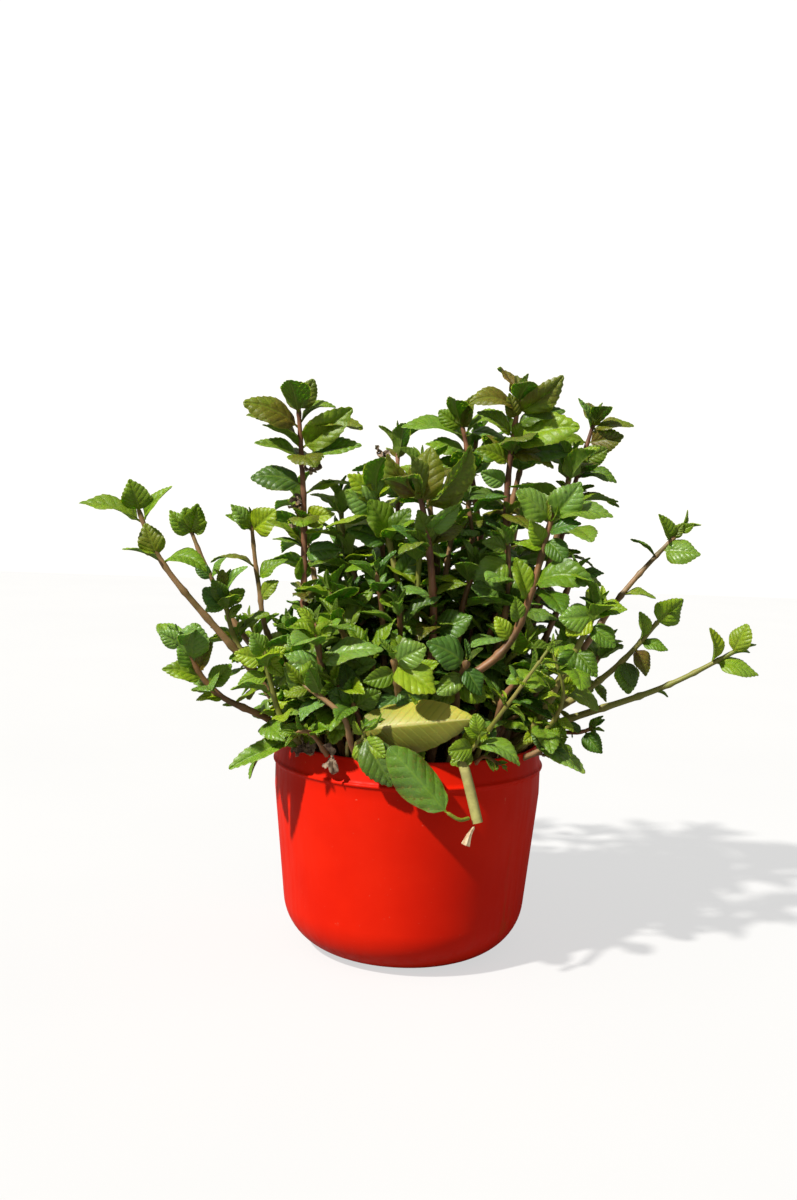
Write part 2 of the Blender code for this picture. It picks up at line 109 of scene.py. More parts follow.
# Sprigs between and in front of the shoots, given in the same way.
SPRIGS = (
    ("sprig_left_front", (-4.4, -5.0), ((-6.6, -6.0, 13.6), (-7.6, -6.5, 16.4), (-8.0, -6.9, 18.7)),
     30, 24, "fresh"),
    ("sprig_left_back", (-3.2, 3.4), ((-3.8, 2.4, 17.0), (-4.0, 2.2, 21.0), (-4.8, 2.2, 24.8)),
     20, 26, "deep"),
    ("sprig_centre", (2.0, 1.8), ((3.0, 0.6, 19.6), (3.4, 0.3, 23.8), (2.9, 0.2, 27.2)),
     70, 27, "deep"),
    ("sprig_quilted", (-2.2, -4.4), ((-2.6, -6.2, 14.2), (-3.0, -7.2, 15.4), (-3.4, -7.8, 16.6)),
     0, 26, "deep"),
    ("sprig_front_bright", (1.8, -6.4), ((3.2, -7.8, 13.2), (3.6, -8.4, 13.8), (3.8, -8.9, 14.6)),
     25, 15, "fresh"),
    ("sprig_front_left", (-3.0, -6.0), ((-2.8, -7.6, 13.3), (-2.4, -8.3, 13.9), (-2.3, -8.7, 14.6)),
     65, 14, "fresh"),
    ("sprig_rim_right", (3.4, -5.8), ((4.0, -7.4, 12.9), (4.7, -8.2, 12.8), (5.2, -8.7, 12.6)),
     20, 10, "mid"),
    ("sprig_right_low", (5.6, -3.6), ((7.6, -4.6, 12.9), (8.4, -5.0, 13.6), (8.8, -5.3, 14.6)),
     10, 20, "mid"),
    ("sprig_right_edge", (6.2, -1.0), ((8.4, -2.0, 13.2), (9.8, -3.0, 13.6), (10.8, -3.8, 14.2)),
     50, 18, "deep"),
    ("sprig_left_low", (-5.2, -4.0), ((-6.0, -6.0, 13.4), (-6.3, -6.8, 13.9), (-6.7, -7.4, 14.8)),
     80, 18, "fresh"),
    ("sprig_left_side", (-6.2, 1.6), ((-8.6, 2.6, 14.4), (-10.2, 3.2, 16.0), (-11.4, 3.6, 18.4)),
     15, 26, "mid"),
    ("sprig_right_side", (6.2, 2.4), ((9.2, 4.0, 14.0), (11.2, 5.2, 15.6), (12.6, 6.0, 18.0)),
     35, 27, "mid"),
    ("sprig_back_left", (-4.4, 4.6), ((-8.0, 7.2, 14.2), (-9.8, 8.6, 15.8), (-11.0, 9.4, 18.2)),
     50, 27, "fresh"),
    ("sprig_back_right", (4.6, 5.2), ((7.8, 8.4, 14.0), (9.6, 10.2, 15.6), (10.8, 11.2, 18.2)),
     5, 28, "mid"),
    ("sprig_back_middle", (-1.4, 5.4), ((-3.0, 9.4, 14.4), (-3.8, 11.6, 16.2), (-4.2, 12.8, 18.6)),
     75, 28, "deep"),
    ("sprig_arching_right", (6.0, -2.6),
     ((6.8, -3.2, 12.9), (8.0, -5.2, 14.6), (8.3, -6.4, 16.5), (7.5, -6.8, 18.8)),
     40, 13, "fresh"),
    ("sprig_yellow_stem", (3.6, -5.4), ((4.2, -6.2, 13.8), (5.6, -7.4, 16.3), (7.6, -7.8, 19.4)),
     65, 13, "fresh"),
    ("sprig_brown_arch", (-2.2, -6.3),
     ((-3.0, -7.4, 13.2), (-3.4, -8.2, 14.8), (-4.5, -8.1, 15.8), (-6.0, -7.4, 16.6)),
     10, 24, "mid"),
    ("sprig_rim_left", (-4.0, -5.6), ((-4.8, -6.8, 13.2), (-5.4, -7.7, 14.0), (-6.2, -8.4, 14.0)),
     75, 20, "mid"),
    ("sprig_high_left", (1.6, 2.4), ((1.8, 3.0, 18.0), (1.2, 3.6, 24.0), (0.2, 4.0, 29.0)),
     30, 34, "mid"),
    ("sprig_high_middle", (3.6, 2.4), ((4.8, 2.6, 19.0), (5.6, 3.0, 25.0), (6.8, 3.2, 31.2)),
     60, 38, "deep"),
    ("sprig_high_right", (4.6, 1.4), ((6.6, 1.2, 18.0), (8.2, 1.0, 23.6), (9.2, 0.8, 29.4)),
     15, 37, "mid"),
    ("sprig_high_back", (2.2, 4.0), ((2.8, 6.0, 18.0), (3.2, 7.4, 24.0), (3.8, 8.2, 31.0)),
     75, 38, "deep"),
    ("sprig_high_side", (-2.0, 0.6), ((-3.0, 0.4, 18.0), (-4.0, 0.2, 22.6), (-4.6, 0.0, 27.0)),
     50, 30, "fresh"),
    ("sprig_inner_left", (-2.6, 0.2), ((-3.2, -0.6, 16.4), (-3.6, -1.2, 18.8), (-3.8, -1.6, 21.4)),
     40, 28, "deep"),
    ("sprig_inner_right", (1.2, 0.4), ((1.0, -0.6, 16.2), (1.2, -1.2, 18.6), (1.0, -1.6, 21.2)),
     15, 28, "deep"),
    ("sprig_inner_back", (0.4, 3.0), ((0.6, 3.4, 17.2), (1.0, 3.6, 20.6), (1.2, 3.8, 24.2)),
     60, 29, "deep"),
)

# Looks of a listed leaf: the way its upper side faces, how far it leans to the front, its width as a share
# of its length, and its curl and fold in radians.
LOOKS = {
    "front": ((0.0, -1.0, 0.25), 0.20, 0.66, 0.6, 0.35),
    "round": ((0.0, -1.0, 0.30), 0.25, 0.78, 0.6, 0.30),
    "raised": ((0.0, -0.6, 0.8), 0.20, 0.60, 0.8, 0.35),
    "flat": ((0.0, -0.15, 1.0), 0.10, 0.56, 0.7, 0.45),
    "arched": ((0.0, -0.35, 1.0), 0.15, 0.58, 1.5, 0.40),
    "left": ((-0.6, -0.7, 0.3), 0.15, 0.58, 0.6, 0.65),
    "right": ((0.6, -0.7, 0.3), 0.15, 0.58, 0.6, 0.65),
}

# Leaves listed one by one, judged from the front: how far below the shoot's tip the leaf starts in mm, the
# way it points in degrees (0 right, 90 up, 180 left), its length in mm, its look and tone.
SET_LEAVES = {
    "left_tall": (
        (14, 65, 20, "front", "bronzed"), (21, 24, 23, "arched", "mid"), (24, 158, 34, "raised", "bronzed"),
        (35, 152, 25, "flat", "mid"), (36, 39, 38, "right", "mid"), (42, 163, 28, "flat", "mid"),
        (46, 20, 37, "flat", "mid"), (57, 174, 30, "raised", "deep"), (62, 15, 29, "flat", "mid"),
        (77, 12, 19, "front", "fresh"), (92, 148, 26, "flat", "mid"), (93, 168, 19, "flat", "mid"),
        (97, 8, 23, "raised", "deep"), (114, 95, 15, "round", "fresh"),
    ),
    "left_far": (
        (12, 103, 19, "round", "mid"), (18, 165, 37, "flat", "mid"), (17, 48, 27, "left", "mid"),
        (40, 112, 21, "round", "bronzed"), (42, 164, 22, "flat", "glossy"), (43, -8, 27, "arched", "mid"),
    ),
    "left_second": (
        (19, 133, 20, "front", "mid"), (18, 76, 19, "front", "mid"), (18, 38, 12, "front", "mid"),
        (19, 104, 17, "round", "mid"), (49, 54, 19, "raised", "glossy"), (50, 138, 14, "front", "deep"),
    ),
    "left_third": (
        (21, 150, 18, "raised", "mid"), (20, 130, 19, "raised", "glossy"), (21, 42, 20, "round", "fresh"),
        (43, 176, 27, "arched", "bronzed"), (50, 34, 22, "raised", "mid"), (64, 50, 17, "raised", "mid"),
    ),
    "left_cluster": (
        (17, 98, 12, "front", "bronzed"), (19, 50, 21, "left", "glossy"), (22, 215, 14, "front", "glossy"),
        (25, 38, 14, "front", "mid"), (26, 142, 16, "round", "deep"), (34, 45, 12, "raised", "mid"),
        (24, 120, 15, "front", "mid"),
    ),
    "left_low": (
        (14, 150, 15, "front", "glossy"), (24, 84, 22, "round", "glossy"), (28, 124, 18, "round", "glossy"),
        (31, 68, 19, "left", "bronzed"), (36, 165, 23, "raised", "mid"), (39, 42, 18, "front", "mid"),
        (52, 185, 16, "arched", "fresh"), (66, 172, 14, "flat", "fresh"),
    ),
    "left_front": (
        (20, 132, 15, "raised", "fresh"), (22, 6, 22, "flat", "deep"), (24, 165, 17, "raised", "mid"),
        (27, 146, 16, "front", "fresh"), (28, 60, 15, "front", "mid"), (36, 0, 11, "front", "mid"),
        (38, 14, 35, "raised", "glossy"), (43, 158, 22, "raised", "glossy"),
        (58, 138, 28, "front", "glossy"),
    ),
    "centre_pale": (
        (18, 142, 22, "front", "fresh"), (18, 40, 20, "arched", "fresh"), (19, 98, 17, "round", "glossy"),
        (23, 156, 22, "round", "glossy"), (42, 118, 25, "round", "mid"), (42, 56, 22, "front", "deep"),
        (45, 163, 26, "raised", "deep"), (66, 164, 24, "raised", "deep"), (67, 60, 22, "front", "deep"),
    ),
    "centre_purple": (
        (32, 128, 31, "left", "bronzed"), (36, 84, 33, "front", "bronzed"),
        (34, 105, 27, "front", "bronzed"),
        (38, 56, 44, "right", "bronzed"), (51, 44, 25, "right", "glossy"), (56, 110, 19, "front", "mid"),
        (62, 146, 26, "raised", "deep"), (86, 20, 20, "raised", "mid"), (88, 174, 24, "raised", "glossy"),
        (108, 26, 24, "round", "deep"), (110, 160, 20, "raised", "mid"),
    ),
    "top_left": (
        (15, 148, 18, "front", "mid"), (17, 76, 22, "left", "bronzed"), (21, 174, 40, "raised", "mid"),
        (20, 31, 27, "raised", "mid"), (21, -16, 28, "arched", "glossy"), (31, 172, 27, "raised", "glossy"),
        (38, 22, 24, "raised", "deep"),
        (44, 168, 24, "raised", "mid"), (49, 226, 24, "right", "glossy"), (61, -18, 20, "raised", "deep"),
    ),
    "top_middle": (
        (16, 76, 15, "front", "mid"), (22, 172, 29, "arched", "bronzed"), (22, 41, 33, "right", "bronzed"),
        (26, 108, 16, "front", "bronzed"), (30, 18, 30, "raised", "deep"), (38, 58, 14, "front", "fresh"),
        (41, 16, 39, "raised", "mid"), (47, -16, 26, "arched", "bronzed"), (50, 8, 37, "raised", "deep"),
        (36, 150, 26, "raised", "mid"),
        (52, 160, 22, "raised", "mid"), (62, 165, 17, "front", "glossy"), (77, 172, 28, "raised", "deep"),
        (90, 14, 22, "flat", "deep"), (96, 172, 28, "flat", "deep"),
    ),
    "top_right": (
        (17, 84, 11, "front", "bronzed"), (18, 120, 21, "right", "glossy"),
        (18, 5, 25, "raised", "bronzed"),
        (27, 12, 22, "round", "bronzed"), (27, 176, 26, "raised", "mid"), (31, 222, 17, "round", "mid"),
        (46, 162, 24, "raised", "deep"), (50, -6, 24, "arched", "deep"),
        (40, 30, 18, "round", "mid"),
    ),
    "right_pale": (
        (23, 54, 25, "round", "glossy"), (23, 3, 33, "raised", "glossy"), (24, 143, 25, "round", "glossy"),
        (27, 95, 14, "left", "bronzed"), (27, 72, 15, "right", "glossy"), (31, 18, 18, "raised", "deep"),
        (35, -48, 16, "round", "deep"), (38, 124, 16, "front", "fresh"), (40, 172, 16, "raised", "mid"),
        (62, 6, 32, "arched", "deep"), (71, 108, 26, "right", "fresh"), (84, 100, 16, "front", "glossy"),
        (94, 126, 16, "raised", "fresh"),
    ),
    "right_high": (
        (10, 30, 10, "front", "mid"), (16, 60, 12, "front", "bronzed"), (18, 118, 19, "right", "mid"),
        (25, -4, 22, "round", "glossy"), (30, 149, 19, "flat", "deep"), (61, -6, 20, "flat", "mid"),
    ),
    "right_round": (
        (17, 46, 21, "round", "fresh"), (30, 100, 18, "right", "mid"), (31, -12, 16, "raised", "mid"),
        (35, -68, 17, "front", "bronzed"), (44, -82, 20, "round", "mid"), (45, -66, 16, "front", "deep"),
    ),
    "right_far": (
        (6, 70, 18, "round", "fresh"), (6, 2, 10, "flat", "deep"), (17, -14, 25, "raised", "mid"),
        (18, 104, 21, "right", "fresh"), (53, -28, 8, "flat", "glossy"),
    ),
    "right_group": (
        (8, 145, 12, "flat", "deep"), (9, 8, 16, "round", "fresh"), (11, 186, 20, "round", "glossy"),
        (12, 216, 18, "round", "fresh"), (10, 126, 26, "arched", "fresh"), (18, -36, 18, "round", "deep"),
        (32, 230, 18, "front", "deep"), (33, -50, 18, "front", "deep"),
    ),
    "right_dark": (
        (20, 12, 18, "raised", "deep"), (26, 165, 20, "raised", "deep"),
    ),
    "front_middle": (
        (30, 32, 19, "round", "glossy"), (31, -30, 25, "round", "fresh"), (36, 198, 18, "front", "mid"),
        (50, -42, 18, "round", "deep"), (54, 222, 17, "round", "deep"),
    ),
    "front_right": (
        (46, 150, 25, "round", "deep"), (47, -58, 18, "front", "deep"), (51, 220, 18, "front", "glossy"),
        (58, -34, 17, "round", "mid"), (66, 200, 16, "front", "fresh"),
    ),
    "centre_right": (
        (9, 168, 16, "front", "glossy"), (15, 217, 24, "round", "glossy"), (34, 172, 22, "front", "deep"),
        (38, 40, 18, "front", "deep"),
    ),
    "sprig_left_front": (
        (8, 120, 14, "round", "glossy"), (10, 171, 17, "front", "fresh"), (10, 30, 13, "front", "fresh"),
        (12, -34, 12, "front", "fresh"), (21, 194, 17, "raised", "fresh"),
    ),
    "sprig_quilted": (
        (15, 150, 17, "round", "deep"), (15, 32, 17, "round", "deep"), (16, 95, 18, "round", "deep"),
        (18, 214, 17, "front", "mid"),
    ),
    "sprig_front_bright": (
        (3, 105, 12, "front", "fresh"), (5, 142, 11, "front", "fresh"), (12, -20, 25, "arched", "glossy"),
        (13, 186, 14, "round", "fresh"), (15, 216, 14, "round", "fresh"), (16, 96, 12, "round", "fresh"),
    ),
    "sprig_front_left": (
        (4, 50, 14, "right", "fresh"), (7, 122, 10, "left", "fresh"), (7, -58, 30, "front", "deep"),
        (9, -34, 15, "round", "fresh"), (10, -76, 16, "round", "fresh"),
    ),
    "sprig_brown_arch": (
        (3, 126, 15, "left", "fresh"), (4, 72, 15, "front", "fresh"), (8, 196, 14, "raised", "mid"),
    ),
    "sprig_right_low": (
        (17, 62, 13, "round", "mid"), (18, 150, 13, "round", "deep"), (19, -40, 14, "front", "deep"),
    ),
    "sprig_right_edge": (
        (9, 44, 12, "flat", "mid"), (11, -50, 15, "front", "deep"), (13, 150, 10, "front", "deep"),
    ),
    "sprig_left_low": (
        (25, 18, 11, "front", "fresh"), (26, 74, 10, "front", "fresh"), (27, 160, 13, "front", "mid"),
    ),
}

# Shoots whose stems carry only their youngest pairs and their listed leaves.
BARE_STEMS = (
    "left_far", "left_second", "left_third", "right_high", "right_round", "right_far", "right_pale",
    "sprig_front_bright", "sprig_front_left", "sprig_brown_arch",
)

# Soil and pot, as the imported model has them.
POT_HEIGHT = 0.125
POT_RADIUS = 0.080
POT_WALL = 0.002
RIDGE_Z = 0.111
WALL_TOP_RADIUS = 0.0787
TAPER_TOP_Z = 0.095
BASE_RADIUS = 0.069
BOTTOM_ROUNDING = 0.031
COLLAR_FOOT_RADIUS = 0.0785
COLLAR_TOP_RADIUS = 0.0770
SOIL_TOP = 0.1135
SOIL_DROP = 0.003

SPRIG_GROUPS = 6
SPRIG_SEED = SEED + len(SHOOTS)

# Inner shoots that fill the middle of the plant, spread by the golden angle.
FILLER_COUNT = 44
FILLER_GROUPS = 4
GOLDEN_ANGLE = math.pi * (3 - math.sqrt(5))
FILLER_REACH = (1.0, 6.2)           # cm from the pot's axis at the soil, nearest and farthest
FILLER_HEIGHT = (27.0, 16.5)        # cm, of the tips of the nearest and the farthest
FRONT_SHARE = 0.8                   # the front fillers stand this much nearer
FILLER_LEAF = (30, 38)              # mm
FILLER_TONES = ("mid", "glossy", "fresh", "deep")
FILLER_SEED = SEED + 100
BARE_FRONT = (0.5, 6.5, -2.5)       # cm: no filler's tip comes between these x in front of this y

# Low sprigs all round the rim.
RIM_COUNT = 42
RIM_GROUPS = 3
RIM_REACH = (5.6, 6.4, 8.6)         # cm from the pot's axis of a rim sprig's foot, middle and tip
RIM_HEIGHT = (14.0, 17.5)           # cm, of their tips
RIM_LEAF = (20, 30)                 # mm
RIM_TONES = ("mid", "fresh", "glossy", "deep")
RIM_SEED = SEED + 200
BARE_RIM = (-3.4, 7.0, -4.0)        # cm: no rim sprig's tip comes between these x in front of this y

# Tones of the leaves: age (0 young and bright, 1 old and dark), bronze, and painted sheen (a pale highlight
# painted into the colour; it also lowers the roughness).
TONES = {
    "fresh": (0.22, 0.05, 0.15),
    "mid": (0.45, 0.15, 0.15),
    "glossy": (0.50, 0.05, 0.75),
    "deep": (0.85, 0.05, 0.30),
    "bronzed": (0.55, 0.75, 0.10),
}

# Leaf pairs down a stem, from the tip: distance below the tip in mm, size as a share of the
# shoot's leaf length, degrees above square to the stem, fold and curl in radians.
PAIRS = (
    (2, 0.38, 60, 0.95, 0.30),
    (7, 0.60, 42, 0.75, 0.45),
    (15, 0.90, 28, 0.55, 0.60),
    (29, 1.00, 14, 0.38, 0.75),
    (45, 1.00, 6, 0.30, 0.85),
    (63, 0.95, 2, 0.28, 0.95),
    (83, 0.90, -4, 0.26, 0.95),
    (104, 0.80, -8, 0.26, 0.95),
    (126, 0.70, -8, 0.26, 0.95),
)
CROWN_LEVEL = 3                     # the pair in PAIRS whose turn the shoot's table gives
LOWEST_PAIR_Z = 0.134               # no leaf pair starts below this
NODE_CLEARANCE = 0.005              # a pair this near a listed leaf is left out on a bare stem
FORWARD_SHARE = 0.8                 # on a leafy stem it stays if it runs from front to back this much
SIDE_SHOOT_FROM = 4                 # axils from this pair down carry small leaves
BARE_AXILS = 0.35                   # share of these axils that stay empty
TONE_SPREAD = (0.18, 0.20, 0.20)    # how far single leaves stray from their shoot's tone
PAIR_AGEING = 0.05                  # each pair below the crown is this much older
AXIL_AGEING = -0.15


# ---------------------------------------------------------------- routes


def unit(vector):
    return vector / np.linalg.norm(vector)


def soil_height(x, y):
    return SOIL_TOP - SOIL_DROP * (x * x + y * y) / POT_RADIUS ** 2


class Route:
    """A smooth curve through a few points, read by the distance along it."""

    SAMPLES = 24
    REACH = 0.001

    def __init__(self, knots):
        knots = np.array(knots, float)
        ends = np.vstack([2 * knots[0] - knots[1], knots, 2 * knots[-1] - knots[-2]])
        t = (np.arange(self.SAMPLES) / self.SAMPLES)[:, None]
        spans = []
        for before, start, end, after in zip(ends, ends[1:], ends[2:], ends[3:]):
            leaving, arriving = (end - before) / 2, (after - start) / 2
            spans.append(start * (2 * t ** 3 - 3 * t ** 2 + 1) + leaving * (t ** 3 - 2 * t ** 2 + t)
                         + end * (3 * t ** 2 - 2 * t ** 3) + arriving * (t ** 3 - t ** 2))
        self.points = np.vstack(spans + [knots[-1:]])
        steps = np.linalg.norm(np.diff(self.points, axis=0), axis=1)
        self.distances = np.concatenate([[0.0], np.cumsum(steps)])
        self.length = self.distances[-1]

    def at(self, distance):
        return np.array([np.interp(distance, self.distances, axis) for axis in self.points.T])

    def direction(self, distance):
        low = min(max(distance - self.REACH, 0.0), self.length - self.REACH)
        return unit(self.at(low + 2 * self.REACH) - self.at(low))

    def side(self, distance, angle):
        """The way square to the route that stands at an angle round it from the X axis."""
        up = self.direction(distance)
        across = unit(np.array([1.0, 0.0, 0.0]) - up[0] * up)
        return across * math.cos(angle) + np.cross(up, across) * math.sin(angle)


def shoot_route(foot, points):
    """Route of a shoot from its foot in the soil to its tip; foot and points are in cm."""
    x, y = foot[0] * CM, foot[1] * CM
    ground = soil_height(x, y)
    return Route([(x, y, ground - 2 * MM), (x, y, ground + 4 * MM)]
                 + [tuple(value * CM for value in point) for point in points])


# ---------------------------------------------------------------- mesh pieces


def linked(name, data):
    """A new object of the scene that shows this mesh, light or camera."""
    item = bpy.data.objects.new(name, data)
    bpy.context.scene.collection.objects.link(item)
    return item


class MeshPile:
    """Collects closed grids of points and their attributes, then makes one mesh object."""

    def __init__(self):
        self.points, self.faces = [], []
        self.point_marks, self.face_marks = [], []
        self.count = 0

    def add(self, points, faces, point_mark, face_mark):
        """point_mark has three numbers a point; face_mark has four a face."""
        self.points.append(points)
        self.faces.append(np.asarray(faces) + self.count)
        self.point_marks.append(point_mark)
        self.face_marks.append(face_mark)
        self.count += len(points)

    def make(self, name, material, sharp_degrees=None):
        points = np.vstack(self.points)
        faces = np.vstack(self.faces).astype(np.int32)
        mesh = bpy.data.meshes.new(name)
        mesh.vertices.add(len(points))
        mesh.vertices.foreach_set("co", points.astype(np.float32).ravel())
        mesh.loops.add(faces.size)
        mesh.loops.foreach_set("vertex_index", faces.ravel())
        mesh.polygons.add(len(faces))
        mesh.polygons.foreach_set("loop_start", np.arange(0, faces.size, 4, dtype=np.int32))
        mesh.polygons.foreach_set("use_smooth", np.ones(len(faces), bool))
        mesh.update(calc_edges=True)
        grain = mesh.attributes.new("grain", "FLOAT_VECTOR", "POINT")
        grain.data.foreach_set("vector", np.vstack(self.point_marks).astype(np.float32).ravel())
        marks = np.vstack(self.face_marks).astype(np.float32)
        tint = mesh.attributes.new("tint", "FLOAT_VECTOR", "FACE")
        tint.data.foreach_set("vector", marks[:, :3].ravel())
        under = mesh.attributes.new("under", "FLOAT", "FACE")
        under.data.foreach_set("value", marks[:, 3].copy())
        if sharp_degrees:
            mesh.set_sharp_from_angle(angle=math.radians(sharp_degrees))
        mesh.materials.append(material)
        return linked(name, mesh)


def place_piece(item, slot, *nodes):
    """Fix a finished piece to the plant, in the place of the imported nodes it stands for."""
    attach(item, "root")
    if nodes:
        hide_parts(*nodes)


# ---------------------------------------------------------------- leaves


@dataclass
class Leaf:
    """One leaf: its length in metres, sizes as shares of it, and bends in radians from base to tip."""
    length: float
    width: float = 0.58
    point: float = 0.85             # how pointed the outline ends; smaller is rounder
    stalk: float = 0.10
    fold: float = 0.30
    curl: float = 0.60
    bend: float = 0.0
    twist: float = 0.0
    droop: float = 0.10
    wave: float = 0.05
    quilt: float = 0.016
    toothed: float = 1.0
    phase: float = 0.0
    tone: tuple = (0.5, 0.0, 0.0)


LEAF_BASE_ROUNDING = 0.55           # under 1 rounds the base of the blade
LEAF_END = 0.985
TEETH = 10
SMALL_LEAF = 0.016                  # leaves shorter than this get fewer teeth
SMALL_TEETH = 7
TOOTH_DEPTH = 0.0065
TOOTH_NOTCH = 0.6                   # depth of the notch between two teeth, as a share of a tooth
TOOTH_FADE = 0.08                   # teeth fade out over this share of the blade at each end
TOOTH_LEAN = 0.5                    # how far teeth point forward, as a share of half a tooth
SIDE_VEINS = 6.0
VEIN_SLOPE = 0.9                    # how far a side vein runs forward for each step outward
STALK_HALF_WIDTH = 0.0006
STALK_DEPTH = 0.0010
BLADE_DEPTH = 0.00032
RIB_DEPTH = 0.0007
RIB_HALF_WIDTH = 0.0009
BLADE_OPENS = 0.15                  # share of the blade over which it opens out from its stalk
COLUMNS = np.array([-1.0, -0.86, -0.62, -0.34, -0.10, 0.0, 0.10, 0.34, 0.62, 0.86, 1.0])
STALK_STEPS = 3
LEAF_CREASE = 75                    # degrees: steeper edges of leaves are drawn sharp


def blade_half_width(share, leaf):
    """Half the width of the blade as a share of its length: an egg shape with a pointed tip."""
    widest = LEAF_BASE_ROUNDING / (LEAF_BASE_ROUNDING + leaf.point)
    peak = widest ** LEAF_BASE_ROUNDING * (1 - widest) ** leaf.point
    return leaf.width / 2 * share ** LEAF_BASE_ROUNDING * (1 - share) ** leaf.point / peak


def leaf_rows(leaf):
    """For each row from the stem to the tip: way along, blade share, half width, toothedness."""
    teeth = TEETH if leaf.length > SMALL_LEAF else SMALL_TEETH
    shares = np.linspace(0.0, LEAF_END, 2 * teeth + 1)
    blade = leaf.length * (1 - leaf.stalk)
    half = blade_half_width(shares, leaf) * leaf.length
    edge = np.clip(np.minimum(shares / TOOTH_FADE, (1 - shares) / TOOTH_FADE), 0.0, 1.0)
    tooth = np.where(np.arange(len(shares)) % 2, 1.0, -TOOTH_NOTCH) * edge
    half = half + tooth * TOOTH_DEPTH * leaf.toothed * leaf.length
    half[0] = STALK_HALF_WIDTH
    stalk = np.linspace(0.0, 1.0, STALK_STEPS, endpoint=False)
    along = np.concatenate([stalk * leaf.length * leaf.stalk, leaf.length * leaf.stalk + shares * blade])
    share = np.concatenate([stalk - 1.0, shares])
    half = np.concatenate([np.full(STALK_STEPS, STALK_HALF_WIDTH), np.maximum(half, STALK_HALF_WIDTH / 3)])
    tooth = np.concatenate([np.zeros(STALK_STEPS), np.maximum(tooth * leaf.toothed, 0.0)])
    return along, share, half, tooth * blade / (2 * teeth)


def leaf_surface(leaf):
    """Upper points, lower points and the grain (share, side, vein phase) of a leaf's grid."""
    along, share, half, lean = leaf_rows(leaf)
    way = along / leaf.length
    pitch = -leaf.curl * way ** 1.3
    yaw = leaf.bend * way
    heading = np.stack([np.cos(pitch) * np.cos(yaw), np.cos(pitch) * np.sin(yaw), np.sin(pitch)], 1)
    steps = np.diff(along, prepend=0.0)[:, None] * heading
    spine = np.cumsum(steps, axis=0)
    across = np.stack([-np.sin(yaw), np.cos(yaw), np.zeros_like(yaw)], 1)
    lift = np.cross(heading, across)
    roll = (leaf.twist * way)[:, None]
    across, lift = (across * np.cos(roll) + lift * np.sin(roll),
                    lift * np.cos(roll) - across * np.sin(roll))

    side = COLUMNS[None, :]
    reach = np.abs(side)
    blade = np.clip(share, 0.0, 1.0)[:, None]
    open_blade = np.clip(share / BLADE_OPENS, 0.0, 1.0)[:, None]
    fold = leaf.fold * (1.25 - 0.5 * blade) * open_blade
    out = side * half[:, None]
    phase = SIDE_VEINS * (blade - VEIN_SLOPE * np.abs(out) / leaf.length)
    swell = np.sin(math.pi * phase) ** 2 * (reach * (1 - reach ** 4)) ** 0.5
    ripple = np.sin(2 * math.pi * (1.6 * blade + leaf.phase * side))
    rise = (np.abs(out) * np.sin(fold)
            - leaf.droop * half[:, None] * reach ** 2.2 * open_blade
            + leaf.quilt * leaf.length * swell * open_blade
            + leaf.wave * half[:, None] * ripple * reach ** 2 * open_blade)
    flat = out * np.cos(fold)
    forward = lean[:, None] * TOOTH_LEAN * reach ** 6
    top = (spine[:, None, :] + across[:, None, :] * flat[..., None] + lift[:, None, :] * rise[..., None]
           + heading[:, None, :] * forward[..., None])

    on_stalk = share[:, None] < 0.0
    rib = RIB_DEPTH * np.exp(-(side * half[:, None] / RIB_HALF_WIDTH) ** 2) * (1 - 0.8 * blade)
    depth = np.where(on_stalk, STALK_DEPTH * np.sqrt(1 - reach ** 2), BLADE_DEPTH + rib)
    bottom = top - lift[:, None, :] * depth[..., None]
    grain = np.stack([*np.broadcast_arrays(share[:, None], side), phase], 2)
    return top, bottom, grain


def shell_faces(rows, columns):
    """Faces of two layers of a grid that share their outer edge, so that they close."""
    upper = np.arange(rows * columns).reshape(rows, columns)
    lower = upper.copy()
    inner = rows * columns + np.arange((rows - 2) * (columns - 2))
    lower[1:-1, 1:-1] = inner.reshape(rows - 2, columns - 2)

    def quads(grid):
        return np.stack([grid[:-1, :-1], grid[1:, :-1], grid[1:, 1:], grid[:-1, 1:]], -1).reshape(-1, 4)

    return np.vstack([quads(upper), quads(lower)[:, ::-1]])


def add_leaf(pile, base, tip, face, leaf):
    """Add a leaf from base to tip, its upper side looking the way of face."""
    top, bottom, grain = leaf_surface(leaf)
    chord = top[-1, len(COLUMNS) // 2]
    local_x = unit(chord)
    local_y = unit(np.cross([0.0, 0.0, 1.0], local_x))
    local = np.stack([local_x, local_y, np.cross(local_x, local_y)])
    span = np.asarray(tip) - base
    world_x = unit(span)
    world_y = unit(np.cross(face, world_x))
    world = np.stack([world_x, world_y, np.cross(world_x, world_y)])
    turn = local.T @ world * (np.linalg.norm(span) / np.linalg.norm(chord))
    rows, columns = top.shape[:2]
    points = np.vstack([top.reshape(-1, 3), bottom[1:-1, 1:-1].reshape(-1, 3)]) @ turn + base
    marks = np.vstack([grain.reshape(-1, 3), grain[1:-1, 1:-1].reshape(-1, 3)])
    faces = shell_faces(rows, columns)
    face_marks = np.tile((*leaf.tone, 0.0), (len(faces), 1))
    face_marks[len(faces) // 2:, 3] = 1.0
    pile.add(points, faces, marks, face_marks)


def jittered_tone(name, rng, deeper=0.0):
    age, bronze, painted_sheen = TONES[name]
    spread = rng.uniform(-1, 1, 3) * TONE_SPREAD
    return tuple(np.clip((age + deeper + spread[0], bronze + spread[1], painted_sheen + spread[2]), 0, 1))


